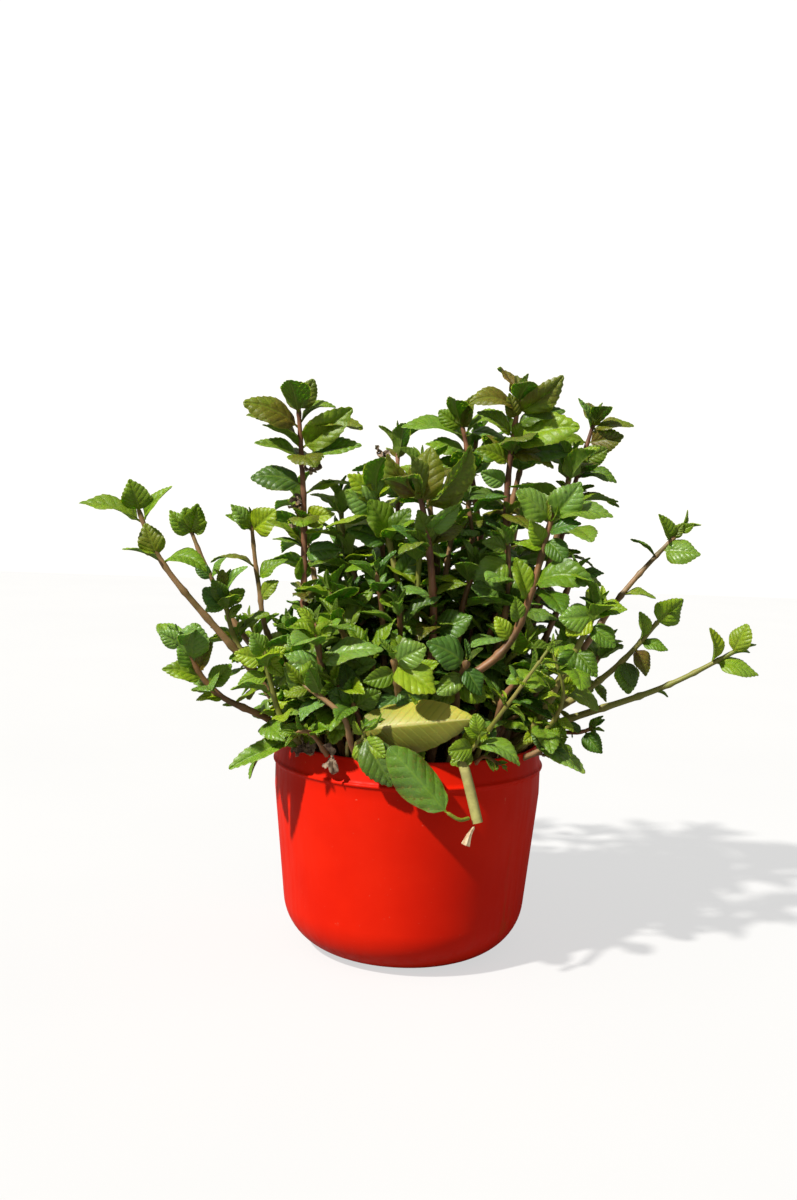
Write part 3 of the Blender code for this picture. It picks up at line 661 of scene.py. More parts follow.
def pair_leaf(level, length, tone, rng):
    """A leaf of the pair at a level, with its own small differences."""
    fold, curl = PAIRS[level][3:]
    return Leaf(
        length=length,
        width=rng.uniform(0.54, 0.70) if level else 0.50,
        point=rng.uniform(0.82, 1.15),
        fold=fold * rng.uniform(0.8, 1.5),
        curl=curl * rng.uniform(0.6, 1.4),
        bend=rng.uniform(-0.4, 0.4),
        twist=rng.uniform(-0.6, 0.6),
        droop=rng.uniform(0.15, 0.50),
        wave=rng.uniform(0.05, 0.16),
        quilt=rng.uniform(0.012, 0.024),
        phase=rng.uniform(0.2, 1.0),
        tone=tone,
    )


def add_pair(pile, route, level, below, angle, size, tone, rng):
    """Add the two leaves that stand opposite each other at one node of a stem."""
    distance = route.length - below
    up = route.direction(distance)
    rise = PAIRS[level][2]
    for facing in (0.0, math.pi):
        lean = math.radians(rise + rng.uniform(-12, 12))
        side = route.side(distance, angle + facing + rng.uniform(-0.25, 0.25))
        along = side * math.cos(lean) + up * math.sin(lean)
        length = size * rng.uniform(0.88, 1.08)
        base = route.at(distance) + side * STEM_TIP_RADIUS * 0.5
        face = up + np.array([0.0, 0.0, 0.5])
        add_leaf(pile, base, base + along * length, face, pair_leaf(level, length, tone(), rng))


def add_axil_leaves(pile, route, below, angle, size, tone, rng):
    """Small young leaves in the axils of a pair."""
    distance = route.length - below
    up = route.direction(distance)
    for facing in (0.0, math.pi):
        if rng.random() < BARE_AXILS:
            continue
        side = route.side(distance, angle + facing)
        for turn in (-1.0, 1.0):
            spread = route.side(distance, angle + facing + turn * rng.uniform(0.9, 1.4))
            along = unit(side * 0.7 + spread * 0.6 + up * rng.uniform(0.3, 0.9))
            length = size * rng.uniform(0.28, 0.50)
            base = route.at(distance) + side * 2 * MM + up * 2 * MM
            leaf = pair_leaf(1, length, tone(), rng)
            add_leaf(pile, base, base + along * length, up + side * 0.3, leaf)


def add_set_leaf(pile, route, row, rng):
    """Add one listed leaf."""
    below, angle, length, look, tone_name = row
    face, forward, width, curl, fold = LOOKS[look]
    angle = math.radians(angle)
    span = np.array([math.cos(angle), -forward - rng.uniform(-0.15, 0.25), math.sin(angle)]) * length * MM
    base = route.at(max(route.length - below * MM, 0.0))
    tone = jittered_tone(tone_name, rng)
    leaf = pair_leaf(CROWN_LEVEL, np.linalg.norm(span), tone, rng)
    width = width * rng.uniform(0.94, 1.12)
    leaf = replace(leaf, width=width, curl=curl, fold=fold, twist=rng.uniform(-0.5, 0.5))
    face = np.array(face) + rng.uniform(-0.3, 0.3, 3)
    add_leaf(pile, base, base + span, face, leaf)


def stem_top(hand_set):
    """How far below the end of its route a stem stops: a little above its highest listed leaf."""
    highest = min((row[0] for row in hand_set), default=0)
    return max(STEM_STOPS_BELOW, (highest - STEM_OVER_LEAF) * MM)


def stands_forward(route, below, angle):
    """Whether a pair runs from front to back, where it fills a crown without changing its outline."""
    return abs(route.side(max(route.length - below, 0.0), angle)[1]) > FORWARD_SHARE


def add_leaves(pile, route, turn, leaf_length, tone_name, rng, hand_set=(), bare=False):
    """All the leaves of one shoot: the listed ones, then pairs where those leave room."""

    def tone(deeper=0.0):
        return jittered_tone(tone_name, rng, deeper)

    for leaf_row in hand_set:
        add_set_leaf(pile, route, leaf_row, rng)
    taken = [row[0] * MM for row in hand_set]
    top = stem_top(hand_set)
    for level, (below, size, *_) in enumerate(PAIRS[:CROWN_LEVEL] if bare else PAIRS):
        below = below * MM * (rng.uniform(0.94, 1.06) if level > CROWN_LEVEL else 1.0)
        angle = math.radians(turn + 90 * (CROWN_LEVEL - level))
        crowded = any(abs(below - other) < NODE_CLEARANCE for other in taken)
        if level == 0:
            below = top
        elif below < top or (crowded and (bare or not stands_forward(route, below, angle))):
            continue
        if level >= CROWN_LEVEL and route.at(route.length - below)[2] < LOWEST_PAIR_Z:
            break
        older = PAIR_AGEING * max(0, level - CROWN_LEVEL)
        add_pair(pile, route, level, below, angle, size * leaf_length, lambda: tone(older), rng)
        if level >= SIDE_SHOOT_FROM:
            add_axil_leaves(pile, route, below, angle, leaf_length, lambda: tone(AXIL_AGEING), rng)


# ---------------------------------------------------------------- stems

STEM_FOOT_RADIUS = 0.0022
STEM_TIP_RADIUS = 0.0010
STEM_END_RADIUS = 0.00005           # of the nearly closed ends
USUAL_LEAF = 0.030                  # shoots with shorter leaves have thinner stems
STEM_STOPS_BELOW = 0.0025           # a stem ends at least this far below its route's tip
STEM_OVER_LEAF = 4                  # mm of stem above the highest listed leaf
STEM_SIDES = 12
STEM_STEP = 0.003
NODE_SWELLING = 0.30
NODE_REACH = 0.0018


def stem_section(angle):
    """Radius of a rounded square of half width 1, at an angle from its side's middle."""
    return (abs(math.cos(angle)) ** 4 + abs(math.sin(angle)) ** 4) ** -0.25


def tube_faces(rings, sides):
    grid = np.arange(rings * sides).reshape(rings, sides)
    ahead = np.roll(grid, -1, axis=1)
    return np.stack([grid[:-1], ahead[:-1], ahead[1:], grid[1:]], -1).reshape(-1, 4)


def add_rings(pile, route, distances, radii, tone, square=True, turn=0.0, ragged=0.0, rng=None):
    """Sweep a square or round section through rings at distances along a route."""
    angles = np.arange(STEM_SIDES) * 2 * math.pi / STEM_SIDES
    section = np.array([stem_section(angle) if square else 1.0 for angle in angles])
    if ragged:
        section = section * (1 + ragged * rng.uniform(-1, 1, STEM_SIDES))
    rings, marks = [], []
    for distance, radius in zip(distances, radii):
        centre = route.at(distance)
        across, forward = route.side(distance, turn), route.side(distance, turn + math.pi / 2)
        ring = np.outer(np.cos(angles) * section, across) + np.outer(np.sin(angles) * section, forward)
        rings.append(centre + ring * radius)
        marks += [(distance / route.length, angle / (2 * math.pi), distance) for angle in angles]
    faces = tube_faces(len(rings), STEM_SIDES)
    pile.add(np.vstack(rings), faces, np.array(marks), np.tile((*tone, 0.0), (len(faces), 1)))


def stem_radii(route, top, leaf_length, node_distances):
    """Distances and radii of a stem's rings: thinner towards its tip and swollen at its nodes."""
    count = max(8, round(route.length / STEM_STEP))
    distances = np.linspace(0.0, route.length - top, count)
    radii = STEM_FOOT_RADIUS + (STEM_TIP_RADIUS - STEM_FOOT_RADIUS) * (distances / route.length) ** 1.5
    radii = radii * min(1.1, 0.3 + 0.7 * leaf_length / USUAL_LEAF)
    for node in node_distances:
        radii *= 1 + NODE_SWELLING * np.exp(-((distances - node) / NODE_REACH) ** 2)
    radii[0] = radii[-1] = STEM_END_RADIUS
    return distances, radii


def add_stem(pile, route, turn, leaf_length, tone, top=STEM_STOPS_BELOW):
    nodes = [route.length - below * MM for below, *_ in PAIRS if top < below * MM < route.length]
    distances, radii = stem_radii(route, top, leaf_length, nodes)
    add_rings(pile, route, distances, radii, tone, turn=math.radians(turn))


# ---------------------------------------------------------------- node material helpers


def new_material(name):
    material = bpy.data.materials.new(name)
    material.use_nodes = True
    return material, material.node_tree, material.node_tree.nodes["Principled BSDF"]


def feed(tree, target, inputs):
    """Link a node's inputs to other nodes, or set them to plain values."""
    for key, value in inputs.items():
        if isinstance(value, bpy.types.NodeSocket):
            tree.links.new(value, target.inputs[key])
        else:
            target.inputs[key].default_value = value


def node(tree, kind, inputs=None, **settings):
    made = tree.nodes.new("ShaderNode" + kind)
    for key, value in settings.items():
        setattr(made, key, value)
    feed(tree, made, inputs or {})
    return made


def maths(tree, operation, *values):
    made = node(tree, "Math", dict(enumerate(values)), operation=operation)
    return made.outputs[0]


def times(tree, first, second):
    return maths(tree, "MULTIPLY", first, second)


def mix(tree, factor, first, second, blend="MIX"):
    made = node(tree, "Mix", {0: factor, 6: first, 7: second}, data_type="RGBA", blend_type=blend)
    return made.outputs[2]


def mapped(tree, value, low, high, to_low=0.0, to_high=1.0):
    made = node(tree, "MapRange", {0: value, 1: low, 2: high, 3: to_low, 4: to_high}, clamp=True,
                interpolation_type="SMOOTHSTEP")
    return made.outputs[0]


def attribute(tree, name):
    return node(tree, "Attribute", attribute_name=name)


def separate(tree, vector):
    return node(tree, "SeparateXYZ", {0: vector}).outputs


def noise_at(tree, scale, detail=3.0, place=None, roughness=0.55):
    if place is None:
        place = node(tree, "TexCoord").outputs["Object"]
    inputs = {"Scale": scale, "Detail": detail, "Roughness": roughness, "Vector": place}
    return node(tree, "TexNoise", inputs).outputs["Fac"]


def bump(tree, height, strength, distance, normal=None):
    inputs = {"Height": height, "Strength": strength, "Distance": distance}
    if normal is not None:
        inputs["Normal"] = normal
    return node(tree, "Bump", inputs).outputs["Normal"]


def rgb(red, green, blue):
    return (red, green, blue, 1.0)


# ---------------------------------------------------------------- materials


def leaf_material():
    """Mint leaf: green by age, bronzed heart, pale veins, paler matt underside, soft gloss and a pale
    painted sheen mixed into its colour.
    """
    material, tree, shader = new_material("mint_leaf")
    share, side, phase = separate(tree, attribute(tree, "grain").outputs["Vector"])
    age, bronze, painted_sheen = separate(tree, attribute(tree, "tint").outputs["Vector"])
    under = attribute(tree, "under").outputs["Fac"]
    cloud = noise_at(tree, 160.0)
    patch = noise_at(tree, 45.0, 2.0)

    ageing = maths(tree, "ADD", age, maths(tree, "MULTIPLY_ADD", patch, 0.5, -0.25))
    young = mix(tree, mapped(tree, ageing, 0.0, 0.5), rgb(0.33, 0.44, 0.005), rgb(0.15, 0.27, 0.003))
    green = mix(tree, mapped(tree, ageing, 0.45, 1.0), young, rgb(0.040, 0.120, 0.006))

    heart = maths(tree, "SUBTRACT", 1.0, times(tree, share, 0.45))
    warmth = times(tree, times(tree, bronze, heart), mapped(tree, patch, 0.2, 0.5))
    green = mix(tree, warmth, green, rgb(0.15, 0.052, 0.010))
    # Painted sheen: a pale highlight colour mixed into the green, more where the tone's painted sheen is
    # high.
    sheen = times(tree, painted_sheen, mapped(tree, patch, 0.35, 0.65, 0.2, 0.6))
    green = mix(tree, sheen, green, rgb(0.24, 0.42, 0.13))

    from_rib = maths(tree, "ABSOLUTE", side)
    rib = mapped(tree, from_rib, 0.09, 0.02)
    nearest = maths(tree, "ABSOLUTE", maths(tree, "SUBTRACT", maths(tree, "FRACT", phase), 0.5))
    branch = mapped(tree, nearest, 0.42, 0.49)
    veins = maths(tree, "MAXIMUM", rib, times(tree, branch, 0.4))
    green = mix(tree, times(tree, veins, 0.30), green, rgb(0.24, 0.36, 0.03))
    green = mix(tree, times(tree, cloud, 0.35), green, rgb(0.30, 0.45, 0.10), "MULTIPLY")
    pale = mix(tree, times(tree, veins, 0.5), rgb(0.12, 0.20, 0.020), rgb(0.24, 0.33, 0.07))
    colour = mix(tree, times(tree, under, 0.75), green, pale)
    on_stalk = mapped(tree, share, 0.01, -0.01)
    colour = mix(tree, on_stalk, colour, rgb(0.20, 0.24, 0.02))

    rough = maths(tree, "MULTIPLY_ADD", painted_sheen, -0.14, 0.40)
    rough = maths(tree, "ADD", rough, maths(tree, "MULTIPLY_ADD", under, 0.2, 0.0))
    rough = maths(tree, "MULTIPLY_ADD", patch, 0.16, rough)

    swell = maths(tree, "SUBTRACT", 1.0, maths(tree, "POWER", times(tree, nearest, 2.0), 2.0))
    pillows = times(tree, swell, mapped(tree, from_rib, 0.0, 0.25))
    quilting = bump(tree, times(tree, pillows, cloud), 0.6, 0.0010)
    crinkle = bump(tree, noise_at(tree, 300.0, 2.0), 0.6, 0.0007, quilting)
    feed(tree, shader, {
        "Base Color": colour,
        "Roughness": rough,
        "Normal": crinkle,
        "Specular IOR Level": 0.38,
        "Subsurface Weight": 0.45,
        "Subsurface Radius": (0.6, 1.0, 0.1),
        "Subsurface Scale": 0.0016,
    })
    return material


def stem_material():
    """Square stem: green, tan or purple-brown by its tint, streaked along its length."""
    material, tree, shader = new_material("mint_stem")
    along, round_way, distance = separate(tree, attribute(tree, "grain").outputs["Vector"])
    purple, tan, _ = separate(tree, attribute(tree, "tint").outputs["Vector"])
    streak_place = node(tree, "CombineXYZ", {0: times(tree, round_way, 9.0),
                                             1: times(tree, distance, 60.0)}).outputs[0]
    streak = noise_at(tree, 3.0, 3.0, streak_place)
    blotch = noise_at(tree, 70.0)
    green = mix(tree, along, rgb(0.34, 0.32, 0.06), rgb(0.18, 0.27, 0.02))
    brown = mix(tree, mapped(tree, blotch, 0.35, 0.65), rgb(0.11, 0.022, 0.020), rgb(0.30, 0.095, 0.055))
    browned = times(tree, purple, mapped(tree, streak, 0.15, 0.55, 0.6, 1.0))
    skin = mix(tree, browned, green, brown)
    tanned = times(tree, tan, mapped(tree, blotch, 0.3, 0.6))
    skin = mix(tree, tanned, skin, rgb(0.42, 0.27, 0.15))
    feed(tree, shader, {
        "Base Color": skin,
        "Roughness": maths(tree, "MULTIPLY_ADD", streak, 0.25, 0.38),
        "Normal": bump(tree, streak, 0.4, 0.0003),
        "Subsurface Weight": 0.1,
        "Subsurface Scale": 0.001,
    })
    return material


def pot_material():
    """Moulded red-orange plastic with fine scuffs, dust specks, darker brown streaks on its +x side and a
    darkening towards the bottom.
    """
    material, tree, shader = new_material("red_plastic")
    place = node(tree, "TexCoord").outputs["Object"]
    x, _, z = separate(tree, place)
    cloud = noise_at(tree, 18.0, 4.0)
    stretched_place = node(tree, "Mapping", {"Vector": place, "Scale": (1.0, 1.0, 0.12)}).outputs[0]
    stretched_noise = noise_at(tree, 95.0, 5.0, stretched_place, 0.65)
    specks = noise_at(tree, 520.0, 2.0)
    scuffs = noise_at(tree, 240.0, 6.0, stretched_place)

    red = mix(tree, mapped(tree, cloud, 0.3, 0.7), rgb(0.80, 0.016, 0.002), rgb(0.72, 0.011, 0.001))
    # Darker brown streaks, only on the +x side of the pot.
    edge_side = mapped(tree, x, 0.030, 0.080)
    streaks = times(tree, mapped(tree, stretched_noise, 0.56, 0.70), edge_side)
    red = mix(tree, times(tree, streaks, 0.50), red, rgb(0.20, 0.10, 0.02))
    dust = times(tree, mapped(tree, specks, 0.72, 0.78), 0.15)
    red = mix(tree, dust, red, rgb(0.80, 0.42, 0.25))
    # Darker towards the bottom of the pot, in the pattern of the stretched noise.
    foot = times(tree, mapped(tree, z, 0.022, 0.0), stretched_noise)
    red = mix(tree, times(tree, foot, 0.45), red, rgb(0.25, 0.03, 0.01))
    rough = mapped(tree, scuffs, 0.3, 0.7, 0.38, 0.56)
    ripple = bump(tree, cloud, 0.12, 0.002)
    feed(tree, shader, {
        "Base Color": red,
        "Roughness": maths(tree, "ADD", rough, times(tree, streaks, 0.25)),
        "Normal": bump(tree, scuffs, 0.10, 0.0004, ripple),
        "Specular IOR Level": 0.09,
    })
    return material


def soil_material():
    """Dark potting mix with paler fibres and damp crumbs."""
    material, tree, shader = new_material("potting_soil")
    crumbs = noise_at(tree, 260.0, 6.0, roughness=0.7)
    clods = noise_at(tree, 55.0, 4.0)
    earth = mix(tree, mapped(tree, crumbs, 0.35, 0.65), rgb(0.012, 0.008, 0.005), rgb(0.075, 0.045, 0.025))
    earth = mix(tree, mapped(tree, clods, 0.55, 0.75), earth, rgb(0.13, 0.085, 0.05))
    feed(tree, shader, {
        "Base Color": earth,
        "Roughness": mapped(tree, clods, 0.2, 0.8, 0.75, 0.98),
        "Normal": bump(tree, crumbs, 0.9, 0.002),
    })
    return material


def yellow_leaf_material():
    """Yellowing leaf: straw yellow, still green along its veins, olive towards its stalk, with painted
    shade in the same dark olive over its lower half.
    """
    material, tree, shader = new_material("yellow_leaf")
    share, side, phase = separate(tree, attribute(tree, "grain").outputs["Vector"])
    patch = noise_at(tree, 60.0, 4.0)
    straw = mix(tree, mapped(tree, patch, 0.35, 0.65), rgb(0.48, 0.43, 0.06), rgb(0.36, 0.36, 0.03))
    stalk_end = mapped(tree, maths(tree, "ADD", share, times(tree, patch, 0.4)), 0.65, 0.25)
    # Painted shade: the lower half of the blade, below the midrib, is darkened to olive.
    painted_shade_half = mapped(tree, maths(tree, "ADD", side, times(tree, patch, 0.5)), 0.30, 0.10)
    olive_and_painted_shade = maths(tree, "MAXIMUM", stalk_end, painted_shade_half)
    straw = mix(tree, times(tree, olive_and_painted_shade, 0.7), straw, rgb(0.13, 0.14, 0.012))
    fine = maths(tree, "FRACT", times(tree, phase, 2.0))
    nearest = maths(tree, "ABSOLUTE", maths(tree, "SUBTRACT", fine, 0.5))
    veins = mapped(tree, nearest, 0.30, 0.50)
    straw = mix(tree, times(tree, veins, 0.5), straw, rgb(0.26, 0.29, 0.03))
    rib = mapped(tree, maths(tree, "ABSOLUTE", side), 0.10, 0.03)
    straw = mix(tree, times(tree, rib, 0.7), straw, rgb(0.56, 0.52, 0.18))
    grooves = bump(tree, times(tree, veins, -1.0), 0.3, 0.0004)
    feed(tree, shader, {
        "Base Color": straw,
        "Roughness": mapped(tree, patch, 0.3, 0.7, 0.42, 0.60),
        "Normal": bump(tree, noise_at(tree, 350.0), 0.35, 0.0004, grooves),
        "Subsurface Weight": 0.2,
        "Subsurface Scale": 0.001,
    })
    return material


def dry_material(name, pale, dark, scale):
    """Dried plant matter: two browns in fine fibres."""
    material, tree, shader = new_material(name)
    fibre = noise_at(tree, scale, 5.0, roughness=0.65)
    feed(tree, shader, {
        "Base Color": mix(tree, mapped(tree, fibre, 0.35, 0.65), pale, dark),
        "Roughness": mapped(tree, fibre, 0.3, 0.7, 0.6, 0.9),
        "Normal": bump(tree, fibre, 0.5, 0.0004),
    })
    return material


FLOOR_GLOW = 0.62


def floor_material():
    """Grey studio floor with a barely visible mottle and a white glow that only the camera sees."""
    material, tree, shader = new_material("studio_floor")
    cloud = noise_at(tree, 3.0, 2.0)
    seen = node(tree, "LightPath").outputs["Is Camera Ray"]
    feed(tree, shader, {
        "Base Color": mix(tree, cloud, rgb(0.24, 0.24, 0.24), rgb(0.27, 0.27, 0.27)),
        "Roughness": 0.9,
        "Specular IOR Level": 0.1,
        "Emission Color": rgb(1.0, 1.0, 1.0),
        "Emission Strength": times(tree, seen, FLOOR_GLOW),
    })
    return material


# ---------------------------------------------------------------- pot and soil

POT_STEPS = 192
LIP_STEPS = 8
BOTTOM_STEPS = 18
RIDGE_RADIUS = 0.0011
RIDGE_FOOT = 2.4 * RIDGE_RADIUS     # the wall is straight again this far above and below the ridge
POT_CREASE = 50                     # degrees: steeper edges are drawn sharp


def arc(centre_radius, centre_z, radius, start, end, steps):
    """Points (radius, z) of an arc; angles in degrees, 0 outward and 90 up."""
    angles = np.radians(np.linspace(start, end, steps + 1))
    return [(centre_radius + radius * math.cos(a), centre_z + radius * math.sin(a)) for a in angles]


def pot_outline():
    """Outline of the pot's wall, from the middle of its inside floor over the lip to the base."""
    slope = (WALL_TOP_RADIUS - BASE_RADIUS) / TAPER_TOP_Z
    tilt = math.degrees(math.atan(slope))
    round_radius = BASE_RADIUS + slope * BOTTOM_ROUNDING - BOTTOM_ROUNDING * math.hypot(1, slope)
    lip = POT_WALL / 2
    ridge_depth = POT_RADIUS - RIDGE_RADIUS
    outside = arc(COLLAR_TOP_RADIUS - lip, POT_HEIGHT - lip, lip, 180, 0, LIP_STEPS)
    outside += [(COLLAR_FOOT_RADIUS, RIDGE_Z + RIDGE_FOOT)]
    outside += arc(ridge_depth, RIDGE_Z, RIDGE_RADIUS, 75, -75, LIP_STEPS)
    outside += [(WALL_TOP_RADIUS, RIDGE_Z - RIDGE_FOOT), (WALL_TOP_RADIUS, 0.103)]
    outside += [(WALL_TOP_RADIUS - 0.00005, TAPER_TOP_Z), (WALL_TOP_RADIUS - 0.0011, 0.084)]
    outside += [(BASE_RADIUS + slope * z, z) for z in (0.070, 0.056, 0.044, 0.036)]
    outside += arc(round_radius, BOTTOM_ROUNDING, BOTTOM_ROUNDING, -tilt, -90, BOTTOM_STEPS)
    outside += [(0.020, 0.0), (0.0, 0.0)]
    inside = [(0.0, POT_WALL), (0.020, POT_WALL)]
    inside += arc(round_radius, BOTTOM_ROUNDING, BOTTOM_ROUNDING - POT_WALL, -90, -tilt, BOTTOM_STEPS)
    inside += [(WALL_TOP_RADIUS - POT_WALL, TAPER_TOP_Z), (COLLAR_FOOT_RADIUS - POT_WALL, RIDGE_Z)]
    return inside + outside


def turned_piece(name, outline, steps, material):
    """Turn an outline of (radius, z) points round the Z axis; it starts and ends on the axis."""
    rings = np.array(outline[1:-1])
    angles = np.arange(steps) * 2 * math.pi / steps
    points = np.stack([
        rings[:, :1] * np.cos(angles),
        rings[:, :1] * np.sin(angles),
        np.repeat(rings[:, 1:], steps, axis=1),
    ], -1).reshape(-1, 3)
    first, last = len(points), len(points) + 1
    points = np.vstack([points, (0, 0, outline[0][1]), (0, 0, outline[-1][1])])
    faces = tube_faces(len(rings), steps)[:, ::-1].tolist()
    bottom = (len(rings) - 1) * steps
    for index in range(steps):
        ahead = (index + 1) % steps
        faces.append((index, ahead, first))
        faces.append((bottom + ahead, bottom + index, last))
    mesh = bpy.data.meshes.new(name)
    mesh.from_pydata(points.tolist(), [], faces)
    mesh.polygons.foreach_set("use_smooth", np.ones(len(mesh.polygons), bool))
    mesh.set_sharp_from_angle(angle=math.radians(POT_CREASE))
    mesh.materials.append(material)
    return linked(name, mesh)


def build_pot():
    pot = turned_piece("red_pot", pot_outline(), POT_STEPS, pot_material())
    place_piece(pot, "pot_plastic", "pot")


SOIL_RADIUS = WALL_TOP_RADIUS - POT_WALL - 0.0003
SOIL_RING_COUNT = 30
SOIL_STEPS = 96
SOIL_DEPTH = 0.018
CLODS = ((90.0, 1.6), (300.0, 1.0))     # how fine and, in mm, how high the soil's unevenness is
CRUMB_COUNT = 260
CRUMB_REACH = 0.96                  # as a share of the soil's radius
CRUMB_SIZE = (0.6, 2.2)             # mm
CRUMB_CREASE = 35
FULL_TURN = 6.28                    # radians


def build_soil(material):
    """Crumbly top of the soil, closed by a skirt and a flat underside inside the pot."""
    outline = [(0.0, soil_height(0.0, 0.0))]
    for ring in range(1, SOIL_RING_COUNT + 1):
        radius = SOIL_RADIUS * ring / SOIL_RING_COUNT
        outline.append((radius, soil_height(radius, 0.0)))
    low = SOIL_TOP - SOIL_DEPTH
    outline += [(SOIL_RADIUS, low), (SOIL_RADIUS * 0.5, low), (0.0, low)]
    soil = turned_piece("soil_surface", outline, SOIL_STEPS, material)
    for vertex in soil.data.vertices:
        reach = math.hypot(vertex.co.x, vertex.co.y) / SOIL_RADIUS
        if vertex.co.z > low + MM and reach < 0.99:
            place = Vector((vertex.co.x, vertex.co.y, 0.0))
            clod = sum(noise.noise(place * scale) * height * MM for scale, height in CLODS)
            vertex.co.z += clod * min(1.0, (1.0 - reach) * 8)
    place_piece(soil, "soil", "soil")


def crumb(rng, centre, radius):
    """Points and faces of one rough crumb: a cube rounded and dented at random."""
    corners = np.array([(x, y, z) for x in (-1, 1) for y in (-1, 1) for z in (-1, 1)], float)
    corners *= rng.uniform(0.55, 1.0, (8, 3)) * rng.uniform(0.5, 1.0, 3)
    faces = ((0, 1, 3, 2), (4, 6, 7, 5), (0, 4, 5, 1), (2, 3, 7, 6), (0, 2, 6, 4), (1, 5, 7, 3))
    turn = np.array(Matrix.Rotation(rng.uniform(0, FULL_TURN), 3, Vector(rng.normal(size=3))))
    return corners @ turn.T * radius + centre, faces


def build_crumbs(rng, material):
    """Loose crumbs and bits of bark on the soil."""
    pile = MeshPile()
    for _ in range(CRUMB_COUNT):
        radius = SOIL_RADIUS * CRUMB_REACH * math.sqrt(rng.random())
        angle = rng.uniform(0, 2 * math.pi)
        x, y = radius * math.cos(angle), radius * math.sin(angle)
        size = rng.uniform(*CRUMB_SIZE) * MM
        centre = np.array([x, y, soil_height(x, y) + 0.6 * MM + size * 0.2])
        points, faces = crumb(rng, centre, size)
        pile.add(points, faces, np.zeros((8, 3)), np.zeros((6, 4)))
    place_piece(pile.make("soil_crumbs", material, CRUMB_CREASE), "soil")


# ---------------------------------------------------------------- lone leaves and cut stem

# Name, foot on the soil (x, y), stalk points up to the base of the blade, tip of the blade, all
# in cm, the way the upper face looks, and the form of the leaf.
STALKED_LEAVES = (
    ("yellow_leaf", (-3.2, -6.0), ((-3.3, -7.0, 13.2), (-2.9, -7.9, 14.2)), (3.4, -8.8, 15.2),
     (0.1, -0.95, 0.3), Leaf(0.063, width=0.47, curl=0.50, fold=-0.35, droop=0.30, wave=0.12,
                             quilt=0.012, stalk=0.04, toothed=0.3)),
    ("left_rim_leaf", (-5.2, -4.4), ((-5.7, -5.2, 12.9), (-6.2, -5.8, 13.2)), (-9.7, -6.8, 11.6),
     (0.2, -0.5, 0.8),
     Leaf(0.040, width=0.34, curl=0.35, fold=0.45, tone=(0.45, 0.0, 0.35), stalk=0.06)),
    ("left_low_leaf", (-6.3, -2.2), ((-6.9, -3.0, 12.9), (-7.3, -3.5, 12.8)), (-8.7, -5.6, 10.8),
     (-0.5, 0.3, 0.8),
     Leaf(0.032, width=0.45, curl=0.75, fold=0.30, tone=(0.5, 0.0, 0.2), stalk=0.06)),
    ("right_rim_leaf", (5.4, -3.6), ((6.3, -4.1, 12.9), (7.0, -4.5, 13.2)), (9.8, -5.6, 11.8),
     (0.3, -0.3, 0.9),
     Leaf(0.034, width=0.62, curl=0.55, fold=0.10, tone=(0.1, 0.1, 0.95), stalk=0.06)),
)
STALK_RADIUS = 0.0010
STALK_RINGS = 14

CUT_STEM_FOOT = (2.3, -5.8)
CUT_STEM_POINTS = ((2.4, -6.7, 12.6), (2.7, -7.6, 13.1), (3.1, -8.5, 12.2), (3.8, -9.0, 9.7))
CUT_STEM_RADIUS = 0.0028
CUT_STEM_BORE = 0.0018
CUT_STEM_BORE_DEPTH = 0.008
CUT_STEM_RINGS = 28
CUT_STEM_CREASE = 40
HANGING_STALK = ((3.38, -9.12, 10.0), (2.8, -9.6, 10.0), (2.1, -9.7, 10.4))
HANGING_LEAF_TIP = (-1.0, -9.1, 13.6)
HANGING_LEAF_FACE = (0.2, -0.95, 0.2)
HANGING_LEAF = Leaf(0.046, width=0.54, curl=0.35, fold=-0.45, droop=0.30, wave=0.20, quilt=0.030,
                    stalk=0.03, point=0.66, toothed=0.3, tone=(0.70, 0.0, 0.45))
HUSK_POINTS = ((3.62, -9.12, 9.55), (3.4, -9.3, 9.2), (3.2, -9.4, 8.6))
HUSK_NECK = 0.0009
HUSK_MOUTH = 0.0024
HUSK_WALL = 0.0004
HUSK_RINGS = 12
HUSK_BOTTOM = 3                     # rings below the cup's inside
HUSK_CREASE = 50
STALK_SHARE = -0.5                  # marks the points of a stalk in a leaf's grain


def cm_route(points):
    return Route([tuple(value * CM for value in point) for point in points])


def add_stalk(pile, route):
    """A thin stalk in the leaf's own piece, marked as stalk for the leaf's material."""
    radii = np.full(STALK_RINGS, STALK_RADIUS)
    radii[0] = radii[-1] = STALK_RADIUS / 10
    stalk = MeshPile()
    distances = np.linspace(0.0, route.length, STALK_RINGS)
    add_rings(stalk, route, distances, radii, (0.4, 0.0, 0.0), square=False)
    grain = np.tile((STALK_SHARE, 0.0, 0.5), (stalk.count, 1))
    pile.add(stalk.points[0], stalk.faces[0], grain, stalk.face_marks[0])


def build_stalked_leaves(leaf_skin):
    for name, foot, points, tip, face, leaf in STALKED_LEAVES:
        pile = MeshPile()
        route = shoot_route(foot, points)
        add_stalk(pile, route)
        add_leaf(pile, route.at(route.length), np.array(tip) * CM, np.array(face, float), leaf)
        yellow = name == "yellow_leaf"
        item = pile.make(name + "_blade", yellow_leaf_material() if yellow else leaf_skin, LEAF_CREASE)
        place_piece(item, "yellow_leaf" if yellow else "leaf", name)


def build_hanging_leaf(leaf_skin):
    pile = MeshPile()
    route = cm_route(HANGING_STALK)
    add_stalk(pile, route)
    tip = np.array(HANGING_LEAF_TIP) * CM
    add_leaf(pile, route.at(route.length), tip, np.array(HANGING_LEAF_FACE), HANGING_LEAF)
    place_piece(pile.make("hanging_leaf_blade", leaf_skin, LEAF_CREASE), "leaf", "hanging_leaf")


